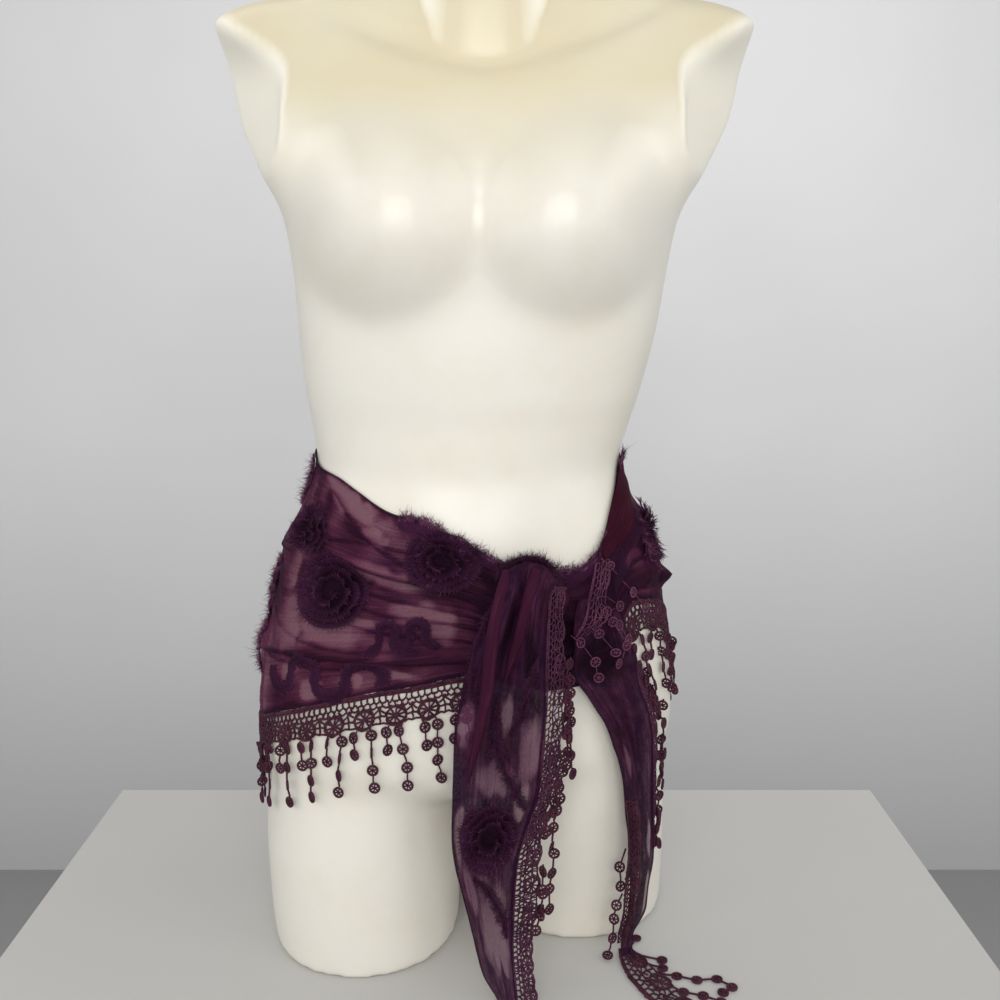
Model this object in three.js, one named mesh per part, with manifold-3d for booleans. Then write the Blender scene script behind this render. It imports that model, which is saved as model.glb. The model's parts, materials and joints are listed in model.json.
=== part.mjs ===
// A triangle shawl tied round the hips of a limbless display form. One chiffon triangle goes from the
// knot at the front round both hips, with a lace edging and rows of drops on its two short edges.
// Millimetres, +Z up. The form stands on its two cut thighs, and its front faces -Y.
import * as THREE from "three";
import { mergeVertices } from "three/addons/utils/BufferGeometryUtils.js";
import Module from "manifold-3d";

const wasm = await Module();
wasm.setup();

// ---------------------------------------------------------------- driving sizes
const CLOTH = 1.2; // wall of the chiffon
const EDGING = 1.5; // wall of the lace
const DROPS = 2.2; // wall that stands for the rows of drops
const CLEAR = 1.1; // between the form and the cloth on it
const GAP = 0.3; // between pieces that are sewn or lie on each other
const SEAM = 0.05; // of turn, that each stretch stops short of a side line
const LACE_WIDTH = 28;
const DROP_REACH = 50;
const KNOT_TURN = 346; // where the two ends of the shawl meet, in degrees round the hips
const HANG_HEIGHT = 175; // the widest ring of the hips, below which the cloth hangs straight
const RING_STATIONS = 48;
const RING_ROWS = 46;

// ---------------------------------------------------------------- tables
// Each table is a list of rows, and its first column is the one that it is looked up by.
function table(names, rows) {
  const columns = names.split(" ");
  return rows.map((row) =>
    Object.fromEntries(columns.map((name, i) => [name, row[i]])),
  );
}

// Rings of the torso: centre, half width, depth to the front and to the back, turn about Z in
// degrees, and the exponent of the rounded outline (2 is an ellipse).
const TORSO = table("z cx cy side front back yaw square", [
  [128, 0, 14, 56, 36, 40, 9, 2.2],
  [137, 0, 13, 112, 66, 72, 9, 2.25],
  [148, 0, 12, 150, 92, 96, 9, 2.3],
  [162, 0, 12, 170, 106, 110, 9, 2.35],
  [175, 0, 12, 178, 113, 118, 9, 2.4],
  [210, 0, 12, 177, 113, 123, 9, 2.4],
  [245, 0, 12, 173, 111, 124, 8, 2.35],
  [280, 1, 11, 166, 108, 120, 7, 2.3],
  [310, 1, 10, 159, 106, 114, 6, 2.25],
  [340, 1, 9, 150, 102, 106, 5, 2.2],
  [368, 1, 8, 139, 97, 98, 4, 2.2],
  [390, 1, 7, 130, 92, 92, 3, 2.2],
  [412, 1, 6, 124, 88, 88, 2, 2.2],
  [440, 3, 6, 126, 88, 88, 1, 2.2],
  [470, 5, 6, 133, 91, 90, 0, 2.2],
  [520, 9, 6, 142, 93, 96, 0, 2.2],
  [560, 11, 6, 148, 93, 100, 0, 2.2],
  [602, 12, 6, 152, 93, 103, 0, 2.2],
  [635, 13, 6, 156, 92, 104, 0, 2.2],
  [670, 14, 7, 182, 84, 102, 0, 2.2],
  [705, 15, 9, 210, 70, 96, 0, 2.2],
  [735, 15, 11, 216, 56, 84, 0, 2.2],
  [755, 15, 12, 198, 48, 72, 0, 2.2],
  [770, 15, 12, 150, 44, 60, 0, 2.2],
  [780, 15, 12, 96, 42, 52, 0, 2.2],
]);

const NECK = table("z cx cy side depth", [
  [680, 15, -2, 62, 44],
  [730, 15, 4, 59, 54],
  [770, 15, 8, 57, 55],
  [812, 15, 12, 56, 54],
  [820, 15, 12, 53, 51],
]);

const THIGH_RIGHT = table("z cx cy side depth", [
  [0, -90, -10, 80, 92],
  [45, -91, -8, 82.5, 94],
  [95, -91, -5, 84, 95],
  [150, -89, 0, 82, 95],
  [190, -88, 3, 80, 94],
  [225, -86, 5, 74, 88],
]);

const THIGH_LEFT = table("z cx cy side depth", [
  [0, 95, 37.5, 80, 86],
  [45, 94, 34, 81, 88],
  [95, 92, 29, 82, 91],
  [150, 89, 24, 80, 95],
  [190, 88, 22, 77, 94],
  [225, 86, 21, 72, 88],
]);

const BUST = { z: 602, spread: 71, across: 70, down: 72, height: 44 };

// The flat cut where an arm would start: its distance from the middle line at one height, and how
// fast that grows upwards and backwards.
const ARM_CUT = { z: 640, distance: 166, rise: 0.36, sweep: 0.36 };

// Edges of the shawl round the hips. turn runs in degrees from the front over the wearer's right
// hip (90), the back (180) and the left hip (270) to the knot.
const EDGES = table("turn top hem", [
  [-14, 341, 244],
  [-6, 347, 250],
  [3, 363, 260],
  [15, 379, 252],
  [25, 384, 245],
  [40, 398, 233],
  [53, 407, 222],
  [68, 415, 210],
  [90, 421, 194],
  [120, 421, 171],
  [150, 422, 148],
  [174, 424, 133],
  [192, 424, 138],
  [212, 423, 160],
  [240, 420, 204],
  [265, 418, 252],
  [286, 416, 288],
  [294, 404, 297],
  [302, 390, 302],
  [311, 374, 305],
  [318, 358, 296],
  [324, 345, 262],
  [334, 337, 246],
  [346, 341, 244],
]);

// The stretches of the shawl between the knot and the two side lines, and the columns of each that
// have an edging under them. Beside the knot the edging of the left stretch is turned up, and is a
// piece of its own.
const STRETCHES = table("name start finish columns first last", [
  ["right_hip", KNOT_TURN - 360, 100, 28, 4, 28],
  ["back", 100, 260, 26, 0, 26],
  ["left_hip", 260, KNOT_TURN, 22, 0, 14],
]);

// Soft ridges of the cloth: where each starts and ends round the hips, its place between the top
// edge (0) and the hem (1) at both ends, its height and its half width as a share of the cloth.
const FOLDS = table("from to start end height width", [
  [-14, 74, 0.9, 0.66, 6.5, 0.06],
  [-14, 58, 0.42, 0.24, 5, 0.07],
  [-10, 46, 0.68, 0.5, 3.5, 0.06],
  [22, 108, 0.12, 0.4, 5, 0.06],
  [62, 150, 0.78, 0.56, 4.5, 0.06],
  [84, 176, 0.3, 0.16, 4, 0.06],
  [118, 214, 0.82, 0.72, 6, 0.05],
  [136, 238, 0.5, 0.38, 5, 0.06],
  [186, 272, 0.2, 0.34, 4, 0.06],
  [206, 300, 0.7, 0.58, 5, 0.07],
  [262, 330, 0.3, 0.5, 5, 0.08],
  [276, 318, 0.74, 0.8, 6, 0.08],
  [306, 346, 0.62, 0.3, 6, 0.09],
  [312, 346, 0.86, 0.66, 5, 0.08],
]);

// The end that passes over the knot and hangs in front, and the end that comes from under it.
// Each row is a place along the cloth: its middle, its width, the height of its rolled folds, the
// turn of its width away from +X in degrees, and how far its two sides droop below the middle.
const TAIL_OVER = table("along x y z width ridge turn droop", [
  [0, 51, -97, 349, 38, 1, 0, 9],
  [1, 49, -107, 358, 44, 2, 0, 12],
  [2, 47, -119, 359, 46, 4, 1, 12],
  [3, 44, -125.5, 343, 39, 8, 3, 5],
  [4, 37, -127, 305, 51, 11, 4, 0],
  [5, 30.5, -127, 265, 61, 9, 3, 0],
  [6, 26, -127, 222, 67, 6, 2, 0],
  [7, 24, -128, 185, 65, 4, 1, 0],
  [8, 20, -128, 152, 57, 3, 0, 0],
  [9, 15.5, -128, 118, 46, 3, -3, 0],
  [10, 17.5, -128, 86, 37, 3, -6, 0],
  [11, 20.5, -129, 52, 30, 3, -8, 0],
  [12, 26, -132, 20, 22, 2, -8, 0],
  [13, 29, -138, 4.5, 19, 1, -8, 0],
  [14, 32, -152, 1, 17, 0.4, -8, 0],
  [15, 36, -168, 0.8, 12, 0.2, -8, 0],
  [16, 41, -184, 0.8, 5, 0, -8, 0],
]);

const TAIL_UNDER = table("along x y z width ridge turn droop", [
  [0, 109, -74, 258, 60, 2, 30, 0],
  [1, 117, -75, 238, 53, 5, 31, 0],
  [2, 129, -73, 213, 44, 6, 30, 0],
  [3, 134.5, -72, 188, 37, 6, 28, 0],
  [4, 138, -71, 146, 30, 5, 26, 0],
  [5, 140.5, -68, 103, 27, 4, 22, 0],
  [6, 141, -64, 70, 25, 4, 16, 0],
  [7, 140, -60, 40, 20, 3, 8, 0],
  [8, 135.5, -60, 16, 11, 2, 0, 0],
  [9, 134, -64, 4, 10, 1, 0, 0],
  [10, 134, -74, 1, 10, 0.3, 8, 0],
]);

// The lace that runs on past the tip of the under end and lies on the table.
const LACE_END = table("along x y z width ridge turn droop", [
  [0, 134.5, -75, 0.8, 12, 0, 10, 0],
  [1, 140, -92, 0.5, 22, 0, 18, 0],
  [2, 149, -110, 0.5, 28, 0, 24, 0],
  [3, 160, -129, 0.5, 28, 0, 28, 0],
  [4, 171, -147, 0.5, 21, 0, 30, 0],
  [5, 180, -161, 0.5, 8, 0, 30, 0],
]);

// Where a lace edging leaves the side of a hanging end: how much of its width shows from the
// front, how much it goes back, and the reach of the drops beyond it.
const BESIDE_OVER = table("along across back drops", [
  [1, 8, 4, 3],
  [3, 12, 7, 3],
  [4, 14, 11, 4],
  [5, 17, 12, 6],
  [7, 17, 12, 9],
  [8, 15, 12, 10],
  [9, 21, 10, 9],
  [10, 22, 8, 9],
  [11, 17, 6, 9],
  [12, 17, 1, 9],
  [12.5, 18, 0, 10],
  [14, 20, 0, 14],
  [16, 14, 0, 14],
]);

const BESIDE_UNDER = table("along across back drops", [
  [0, 8, 1, 9],
  [3, 9, 4, 12],
  [5, 6, 6, 8],
]);

const BESIDE_END = table("along across back drops", [
  [0, 2, 0, 14],
  [1, 2, 0, 30],
  [2, 2, 0, 44],
  [4, 2, 0, 46],
  [5, 2, 0, 40],
]);

// Ribbon roses on the shawl: turn and height of the middle, radius and height of the ruffles.
const WRAP_ROSES = table("turn z radius height", [
  [9.5, 350, 21, 7],
  [44, 321, 26, 8],
  [64, 366, 21, 8],
  [106, 300, 25, 8],
  [142, 352, 23, 8],
  [178, 262, 26, 8],
  [222, 330, 24, 8],
  [271, 358, 20, 8],
]);

const TAIL_ROSES = table("along share radius height", [[8.2, 0.5, 20, 7]]);

// Scroll ribbons: a wave round the hips from one turn to another.
const SCROLLS = table("from to z rise wave waves", [
  [8, 27, 287, 2, 11, 1.5],
  [27, 54, 257, -2, 12, 2],
  [124, 150, 226, -16, 12, 2],
  [202, 228, 236, 16, 12, 2],
]);
const SCROLL_WIDTH = 9;
const SCROLL_HEIGHT = 2;
const SCROLL_TURN = 0.4; // how far the ribbon's width turns with its wave
const MM_PER_DEGREE = 2.6; // of turn, on the front of the hips

// The bunched cloth of the knot under the end that passes over it.
const KNOT = { turn: -14.5, z: 326, across: 20, along: 24, height: 36 };

// The edging of the left stretch is turned up beside the knot, and its drops hang over the cloth.
// Corners are a turn and a height, clockwise.
const LOOSE_LACE = [[325, 337], [316, 339], [331, 289], [337.5, 287]];
const LOOSE_DROPS = [[315.6, 338], [309, 334], [320, 274], [330.6, 288]];
const LOOSE_LIFT = 0.9;

// The turned-over top edge, in columns and rows of the left stretch.
const TURNED_EDGE = { first: 6, last: 15, rows: 2 };

const PANEL_ROWS = 10;
const SUNK = 1.5; // how far a piece that lies on the cloth is sunk into it before it is trimmed
const COVER_DEPTH = 3; // of the solid that trims it, below the inner face of the cloth
const SLIVER = 0.08; // faces narrower than this are merged after a piece is trimmed

// ---------------------------------------------------------------- reading a table
// A smooth curve through the rows that never overshoots between two of them.
function sample(rows, at) {
  const [key, ...others] = Object.keys(rows[0]);
  const last = rows.length - 1;
  const where = THREE.MathUtils.clamp(at, rows[0][key], rows[last][key]);
  let i = 0;
  while (i < last - 1 && rows[i + 1][key] <= where) i += 1;
  const step = rows[i + 1][key] - rows[i][key];
  const u = (where - rows[i][key]) / step;
  const found = { [key]: where };
  for (const name of others) {
    const grade = (k) =>
      (rows[k + 1][name] - rows[k][name]) / (rows[k + 1][key] - rows[k][key]);
    const slope = (k) => {
      if (k === 0) return grade(0);
      if (k === last) return grade(last - 1);
      const before = grade(k - 1);
      const after = grade(k);
      return before * after <= 0 ? 0 : (2 * before * after) / (before + after);
    };
    const a = rows[i][name];
    const b = rows[i + 1][name];
    const ma = slope(i) * step;
    const mb = slope(i + 1) * step;
    found[name] =
      (2 * u ** 3 - 3 * u ** 2 + 1) * a +
      (u ** 3 - 2 * u ** 2 + u) * ma +
      (3 * u ** 2 - 2 * u ** 3) * b +
      (u ** 3 - u ** 2) * mb;
  }
  return found;
}

const radians = THREE.MathUtils.degToRad;
const mix = THREE.MathUtils.lerp;

// ---------------------------------------------------------------- closed meshes
// A mesh from a list of points and a list of corner triples, turned so that its faces point out.
function closed(points, corners) {
  let volume = 0;
  for (const [a, b, c] of corners) {
    volume += points[a].dot(points[b].clone().cross(points[c])) / 6;
  }
  const facing =
    volume < 0 ? corners.map(([a, b, c]) => [a, c, b]) : corners;
  const geometry = new THREE.BufferGeometry().setFromPoints(points);
  geometry.setIndex(facing.flat());
  return geometry;
}

// A wall between two faces: face(u, v, depth) is a point, with u and v from 0 to 1 and depth 0 on
// the inner face and 1 on the outer one.
function wall(columns, rows, face) {
  const points = [];
  const at = (i, j, side) => (side * (rows + 1) + j) * (columns + 1) + i;
  for (const side of [0, 1]) {
    for (let j = 0; j <= rows; j += 1) {
      for (let i = 0; i <= columns; i += 1) {
        points.push(face(i / columns, j / rows, side));
      }
    }
  }
  const corners = [];
  const quad = (a, b, c, d) => corners.push([a, b, c], [a, c, d]);
  for (let j = 0; j < rows; j += 1) {
    for (let i = 0; i < columns; i += 1) {
      quad(at(i, j, 1), at(i + 1, j, 1), at(i + 1, j + 1, 1), at(i, j + 1, 1));
      quad(at(i, j, 0), at(i, j + 1, 0), at(i + 1, j + 1, 0), at(i + 1, j, 0));
    }
  }
  for (let i = 0; i < columns; i += 1) {
    quad(at(i, 0, 0), at(i + 1, 0, 0), at(i + 1, 0, 1), at(i, 0, 1));
    quad(at(i, rows, 1), at(i + 1, rows, 1), at(i + 1, rows, 0), at(i, rows, 0));
  }
  for (let j = 0; j < rows; j += 1) {
    quad(at(0, j, 1), at(0, j + 1, 1), at(0, j + 1, 0), at(0, j, 0));
    quad(at(columns, j, 0), at(columns, j + 1, 0), at(columns, j + 1, 1), at(columns, j, 1));
  }
  return closed(points, corners);
}

// A tube of rings with a flat cap on each end: ring(v, station) is a point.
function loft(stations, rows, ring) {
  const points = [];
  for (let j = 0; j <= rows; j += 1) {
    for (let i = 0; i < stations; i += 1) points.push(ring(j / rows, i / stations));
  }
  const corners = [];
  for (let j = 0; j < rows; j += 1) {
    for (let i = 0; i < stations; i += 1) {
      const next = (i + 1) % stations;
      const low = j * stations;
      const high = low + stations;
      corners.push([low + i, low + next, high + next], [low + i, high + next, high + i]);
    }
  }
  for (const row of [0, rows]) {
    const rim = points.slice(row * stations, (row + 1) * stations);
    const middle = points.length;
    points.push(
      rim.reduce((sum, p) => sum.add(p), new THREE.Vector3()).divideScalar(stations),
    );
    for (let i = 0; i < stations; i += 1) {
      const a = row * stations + i;
      const b = row * stations + ((i + 1) % stations);
      corners.push(row === 0 ? [middle, b, a] : [middle, a, b]);
    }
  }
  return closed(points, corners);
}

function solid(geometry) {
  const bare = new THREE.BufferGeometry();
  bare.setAttribute("position", geometry.getAttribute("position"));
  bare.setIndex(geometry.index);
  const merged = mergeVertices(bare, 1e-4);
  return new wasm.Manifold(
    new wasm.Mesh({
      numProp: 3,
      vertProperties: new Float32Array(merged.attributes.position.array),
      triVerts: new Uint32Array(merged.index.array),
    }),
  );
}

function surfaceOf(manifold) {
  const mesh = manifold.getMesh();
  const geometry = new THREE.BufferGeometry();
  geometry.setAttribute("position", new THREE.BufferAttribute(mesh.vertProperties, 3));
  geometry.setIndex(new THREE.BufferAttribute(mesh.triVerts, 1));
  return geometry;
}

function joined(geometries) {
  return surfaceOf(geometries.map(solid).reduce((whole, piece) => whole.add(piece)));
}

// What is left of a piece above the covers that it lies on: its largest body.
function trimmed(geometry, covers) {
  const cut = covers.reduce((rest, cover) => rest.subtract(cover), solid(geometry));
  const bodies = cut.decompose();
  const largest = bodies.reduce((a, b) => (b.volume() > a.volume() ? b : a));
  return surfaceOf(largest.simplify(SLIVER));
}

// ---------------------------------------------------------------- the display form
const rounded = (value, square) => Math.sign(value) * Math.abs(value) ** (2 / square);

// A point of the torso's ring at one height. turn is in degrees from the front towards the
// wearer's right, and out is how far the point lies off the surface.
function torsoPoint(turn, z, out = 0) {
  const ring = sample(TORSO, z);
  const angle = radians(turn);
  const depth = Math.cos(angle) > 0 ? ring.front : ring.back;
  const x = -ring.side * rounded(Math.sin(angle), ring.square);
  const y = -depth * rounded(Math.cos(angle), ring.square);
  const normal = new THREE.Vector2(
    (Math.sign(x) * Math.abs(x / ring.side) ** (ring.square - 1)) / ring.side,
    (Math.sign(y) * Math.abs(y / depth) ** (ring.square - 1)) / depth,
  ).normalize();
  return new THREE.Vector2(x, y)
    .addScaledVector(normal, out)
    .rotateAround(new THREE.Vector2(), radians(ring.yaw))
    .add(new THREE.Vector2(ring.cx, ring.cy));
}

// How far the bust stands out of the chest: two plain round mounds.
function bustRise(x, z, middle) {
  let rise = 0;
  for (const side of [-1, 1]) {
    const across = (x - middle - side * BUST.spread) / BUST.across;
    const down = (z - BUST.z) / BUST.down;
    const share = 1 - across ** 2 - down ** 2;
    if (share > 0) rise = Math.max(rise, BUST.height * share);
  }
  return rise;
}

function torso() {
  const low = TORSO[0].z;
  const high = TORSO.at(-1).z;
  return loft(RING_STATIONS, RING_ROWS, (v, station) => {
    const z = mix(low, high, v);
    const { cx, cy } = sample(TORSO, z);
    const p = torsoPoint(station * 360, z);
    const cut =
      ARM_CUT.distance + ARM_CUT.rise * (z - ARM_CUT.z) + ARM_CUT.sweep * (p.y - cy);
    const x = cx + THREE.MathUtils.clamp(p.x - cx, -cut, cut);
    const front = p.y < cy;
    const y = front ? p.y - bustRise(p.x, z, cx) : p.y;
    return new THREE.Vector3(z > ARM_CUT.z - 30 ? x : p.x, y, z);
  });
}

function column(rows, bands) {
  return loft(22, bands, (v, station) => {
    const z = mix(rows[0].z, rows.at(-1).z, v);
    const { cx, cy, side, depth } = sample(rows, z);
    const angle = station * Math.PI * 2;
    return new THREE.Vector3(
      cx + side * rounded(Math.cos(angle), 2.15),
      cy + depth * rounded(Math.sin(angle), 2.15),
      z,
    );
  });
}

// ---------------------------------------------------------------- the shawl round the hips
const topEdge = (turn) => sample(EDGES, turn).top;
const hemEdge = (turn) => sample(EDGES, turn).hem;

// Height of the ridges at a place on the shawl, from 0 at the top edge to 1 at the hem.
function foldHeight(turn, share) {
  let height = 0;
  for (const fold of FOLDS) {
    const along = (turn - fold.from) / (fold.to - fold.from);
    if (along <= 0 || along >= 1) continue;
    const place = mix(fold.start, fold.end, along);
    const strength = fold.height * Math.sin(Math.PI * along) ** 0.6;
    height += strength * Math.exp(-(((share - place) / fold.width) ** 2));
  }
  return height;
}

// A point of the shawl at a turn and a height, out from its inner face.
function shawlPoint(turn, z, out) {
  const top = topEdge(turn);
  const share = (top - z) / (top - hemEdge(turn));
  const lift = CLEAR + foldHeight(turn, share) + out;
  const p = torsoPoint(turn, Math.max(z, HANG_HEIGHT), lift);
  return new THREE.Vector3(p.x, p.y, z);
}

// The same from its outer face.
const onShawl = (turn, z, out) => shawlPoint(turn, z, CLOTH + out);

function panel({ from, to, columns, low = 0, high = CLOTH, beyond = 0 }) {
  return wall(columns, PANEL_ROWS, (u, v, depth) => {
    const turn = mix(from, to, u);
    const z = mix(topEdge(turn) + beyond, hemEdge(turn) - beyond, v);
    return shawlPoint(turn, z, mix(low, high, depth));
  });
}

// A band below the hem, such as the lace: how far below it starts and how long it is.
function belowHem({ from, to, columns, start, length, thickness }) {
  return wall(columns, 1, (u, v, depth) => {
    const turn = mix(from, to, u);
    const z = hemEdge(turn) - start - v * length;
    return shawlPoint(turn, z, depth * thickness);
  });
}

// A patch that lies on the shawl, with its corners given as turns and heights, clockwise from
// the upper one that is nearer the front.
function patch({ corners, columns, rows, start, thickness }) {
  const [a, b, c, d] = corners;
  return wall(columns, rows, (u, v, depth) => {
    const turn = mix(mix(a[0], b[0], u), mix(d[0], c[0], u), v);
    const z = mix(mix(a[1], b[1], u), mix(d[1], c[1], u), v);
    return onShawl(turn, z, start + depth * thickness);
  });
}

// The top edge that is turned over on the left hip: some columns and rows of the panel, moved out.
function turnedEdge({ from, to, columns, first, last, rows }) {
  return wall(last - first, rows, (u, v, depth) => {
    const turn = mix(from, to, mix(first, last, u) / columns);
    const z = mix(topEdge(turn), hemEdge(turn), (v * rows) / PANEL_ROWS);
    return onShawl(turn, z, GAP + depth * CLOTH);
  });
}

// ---------------------------------------------------------------- the hanging ends
// A point of a hanging end: along its length, across its width from -0.5 to 0.5, and out from
// its inner face.
function tailPoint(rows, along, across, out) {
  const here = sample(rows, along);
  const step = 0.02;
  const ahead = sample(rows, along + step);
  const behind = sample(rows, along - step);
  const way = new THREE.Vector3(
    ahead.x - behind.x,
    ahead.y - behind.y,
    ahead.z - behind.z,
  ).normalize();
  const width = new THREE.Vector3(
    Math.cos(radians(here.turn)),
    Math.sin(radians(here.turn)),
    0,
  );
  const normal = width.clone().cross(way).negate().normalize();
  const wave = (1 - Math.cos(4 * Math.PI * (across + 0.5))) / 2;
  const low = here.droop * (2 * across) ** 2;
  return new THREE.Vector3(here.x, here.y, here.z - low)
    .addScaledVector(width, across * here.width)
    .addScaledVector(normal, here.ridge * wave + out);
}

function tail({ rows, columns, bands, low = 0, high = CLOTH }) {
  const last = rows.at(-1).along;
  return wall(columns, bands, (u, v, depth) =>
    tailPoint(rows, v * last, u - 0.5, mix(low, high, depth)),
  );
}

// A strip that lies on the front of a hanging end, from its left side to one of its columns and
// between two of its bands.
function onTail({ rows, columns, bands, width, first, final, thickness }) {
  const last = rows.at(-1).along;
  return wall(width, final - first, (u, v, depth) => {
    const along = (mix(first, final, v) / bands) * last;
    const across = (u * width) / columns - 0.5;
    return tailPoint(rows, along, across, CLOTH + GAP + depth * thickness);
  });
}

// A strip down the right side of a hanging end, between two of its bands. The lace comes first,
// or nothing where there is none, and the drops come next. spare is what it gains on each side
// when it trims another piece.
function beside({ rows, bands, plan, kind, first, final, lace = true, spare = 0 }) {
  const last = rows.at(-1).along;
  const thickness = kind === "lace" ? EDGING : DROPS;
  return wall(1, final - first, (u, v, depth) => {
    const along = (mix(first, final, v) / bands) * last;
    const { across, back, drops } = sample(plan, along);
    const edge = tailPoint(rows, along, 0.5, 0);
    const normal = tailPoint(rows, along, 0.5, 1).sub(edge);
    const angle = radians(sample(rows, along).turn);
    const width = new THREE.Vector3(Math.cos(angle), Math.sin(angle), 0);
    const lean = new THREE.Vector3()
      .addScaledVector(width, across)
      .addScaledVector(normal, -back);
    const length = lean.length();
    lean.normalize();
    const face = lean.clone().cross(width.clone().cross(normal)).normalize();
    const beyond = lace ? length + 2 * GAP : GAP;
    const start = kind === "lace" ? 0 : beyond;
    const reach = kind === "lace" ? length : drops;
    return edge
      .addScaledVector(width, GAP)
      .addScaledVector(lean, start + mix(-spare, reach + spare, u))
      .addScaledVector(face, -mix(-spare, thickness + spare, depth));
  });
}

// ---------------------------------------------------------------- ribbon on the cloth
// The place on a surface that lies some millimetres from another, across and along it.
function offsetOn(surface, a, b, across, along) {
  const step = 0.01;
  const here = surface(a, b, 0);
  const perA = here.distanceTo(surface(a + step, b, 0)) / step;
  const perB = here.distanceTo(surface(a, b + step, 0)) / step;
  return [a + across / perA, b + along / perB];
}

// A round pad on a surface. rise(share, angle) is its height from the middle (0) to the rim (1),
// and its underside is sunk, to be trimmed by what it lies on.
function pad({ surface, a, b, across, along, rings, spokes, rise }) {
  const points = [];
  const place = (ring, spoke, top) => {
    const share = ring / rings;
    const angle = (spoke / spokes) * Math.PI * 2;
    const [u, v] = offsetOn(
      surface,
      a,
      b,
      share * across * Math.cos(angle),
      share * along * Math.sin(angle),
    );
    return surface(u, v, top ? rise(share, angle) : -SUNK);
  };
  for (const top of [0, 1]) {
    points.push(place(0, 0, top));
    for (let ring = 1; ring <= rings; ring += 1) {
      for (let spoke = 0; spoke < spokes; spoke += 1) points.push(place(ring, spoke, top));
    }
  }
  const at = (ring, spoke, top) =>
    top * (1 + rings * spokes) + (ring === 0 ? 0 : 1 + (ring - 1) * spokes + (spoke % spokes));
  const corners = [];
  for (let spoke = 0; spoke < spokes; spoke += 1) {
    const next = spoke + 1;
    corners.push([at(0, 0, 1), at(1, spoke, 1), at(1, next, 1)]);
    corners.push([at(0, 0, 0), at(1, next, 0), at(1, spoke, 0)]);
    for (let ring = 1; ring < rings; ring += 1) {
      const [p, q] = [at(ring, spoke, 1), at(ring, next, 1)];
      const [r, s] = [at(ring + 1, spoke, 1), at(ring + 1, next, 1)];
      corners.push([p, r, s], [p, s, q]);
      const [k, l] = [at(ring, spoke, 0), at(ring, next, 0)];
      const [m, n] = [at(ring + 1, spoke, 0), at(ring + 1, next, 0)];
      corners.push([k, n, m], [k, l, n]);
    }
    const [low, lowNext] = [at(rings, spoke, 0), at(rings, next, 0)];
    const [high, highNext] = [at(rings, spoke, 1), at(rings, next, 1)];
    corners.push([low, lowNext, highNext], [low, highNext, high]);
  }
  return closed(points, corners);
}

// A rose of gathered ribbon: a low dome with one raised ring of ruffles round its middle.
function rose(surface, a, b, radius, height) {
  const rise = (share) =>
    GAP + height * (1 - 0.6 * share ** 2) * (0.75 + 0.25 * Math.cos(3 * Math.PI * share));
  return pad({ surface, a, b, across: radius, along: radius, rings: 3, spokes: 10, rise });
}

// A strip of ribbon along a wave on the shawl.
function scroll(row) {
  const steps = 14;
  return wall(1, steps, (u, v, depth) => {
    const phase = 2 * Math.PI * row.waves * v;
    const turn = mix(row.from, row.to, v);
    const z = row.z + row.rise * v + row.wave * Math.sin(phase);
    const slope = SCROLL_TURN * Math.cos(phase) * row.wave * 2 * Math.PI * row.waves;
    const run = (row.to - row.from) * MM_PER_DEGREE;
    const lean = Math.hypot(slope, run);
    const side = (u - 0.5) * SCROLL_WIDTH;
    const [a, b] = offsetOn(onShawl, turn, z, (-side * slope) / lean, (side * run) / lean);
    return onShawl(a, b, mix(-SUNK, GAP + SCROLL_HEIGHT, depth));
  });
}

// ---------------------------------------------------------------- the group
const FINISH = {
  form: { color: 0xe9e1c8, roughness: 0.28, metalness: 0 },
  chiffon: { color: 0x4a2038, roughness: 0.75, metalness: 0 },
  lace: { color: 0x452433, roughness: 0.8, metalness: 0 },
  ribbon: { color: 0x331634, roughness: 0.85, metalness: 0 },
};

const group = new THREE.Group();

function add(name, finish, geometry) {
  const mesh = new THREE.Mesh(geometry, new THREE.MeshStandardMaterial(FINISH[finish]));
  mesh.name = name;
  group.add(mesh);
}

add(
  "display_form",
  "form",
  joined([torso(), column(NECK, 4), column(THIGH_RIGHT, 6), column(THIGH_LEFT, 6)]),
);

// The shawl round the hips in three stretches, and the edging under each. Covers are what trims
// the pieces that lie on the shawl.
const covers = [];

for (const { name, start, finish, columns, first, last } of STRETCHES) {
  const from = start + SEAM;
  const to = finish - SEAM;
  const edging = {
    from: mix(from, to, first / columns),
    to: mix(from, to, last / columns),
    columns: last - first,
  };
  add("shawl_" + name, "chiffon", panel({ from, to, columns }));
  add(
    "lace_" + name,
    "lace",
    belowHem({ ...edging, start: GAP, length: LACE_WIDTH, thickness: EDGING }),
  );
  add(
    "drops_" + name,
    "lace",
    belowHem({ ...edging, start: LACE_WIDTH + 2 * GAP, length: DROP_REACH, thickness: DROPS }),
  );
  const cover = { low: -COVER_DEPTH, high: CLOTH + GAP, beyond: GAP };
  covers.push(solid(panel({ from: start, to: finish, columns, ...cover })));
}

const left = STRETCHES.at(-1);
const leftPanel = { from: left.start + SEAM, to: left.finish - SEAM, columns: left.columns };
add("turned_edge", "chiffon", turnedEdge({ ...leftPanel, ...TURNED_EDGE }));

// The two hanging ends. Bands are rings of faces along an end.
const over = { rows: TAIL_OVER, columns: 8, bands: 26 };
const under = { rows: TAIL_UNDER, columns: 6, bands: 15 };
const end = { rows: LACE_END, columns: 3, bands: 8, high: EDGING };
const onOver = (across, along, out) => tailPoint(TAIL_OVER, along, across, CLOTH + out);

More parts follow.
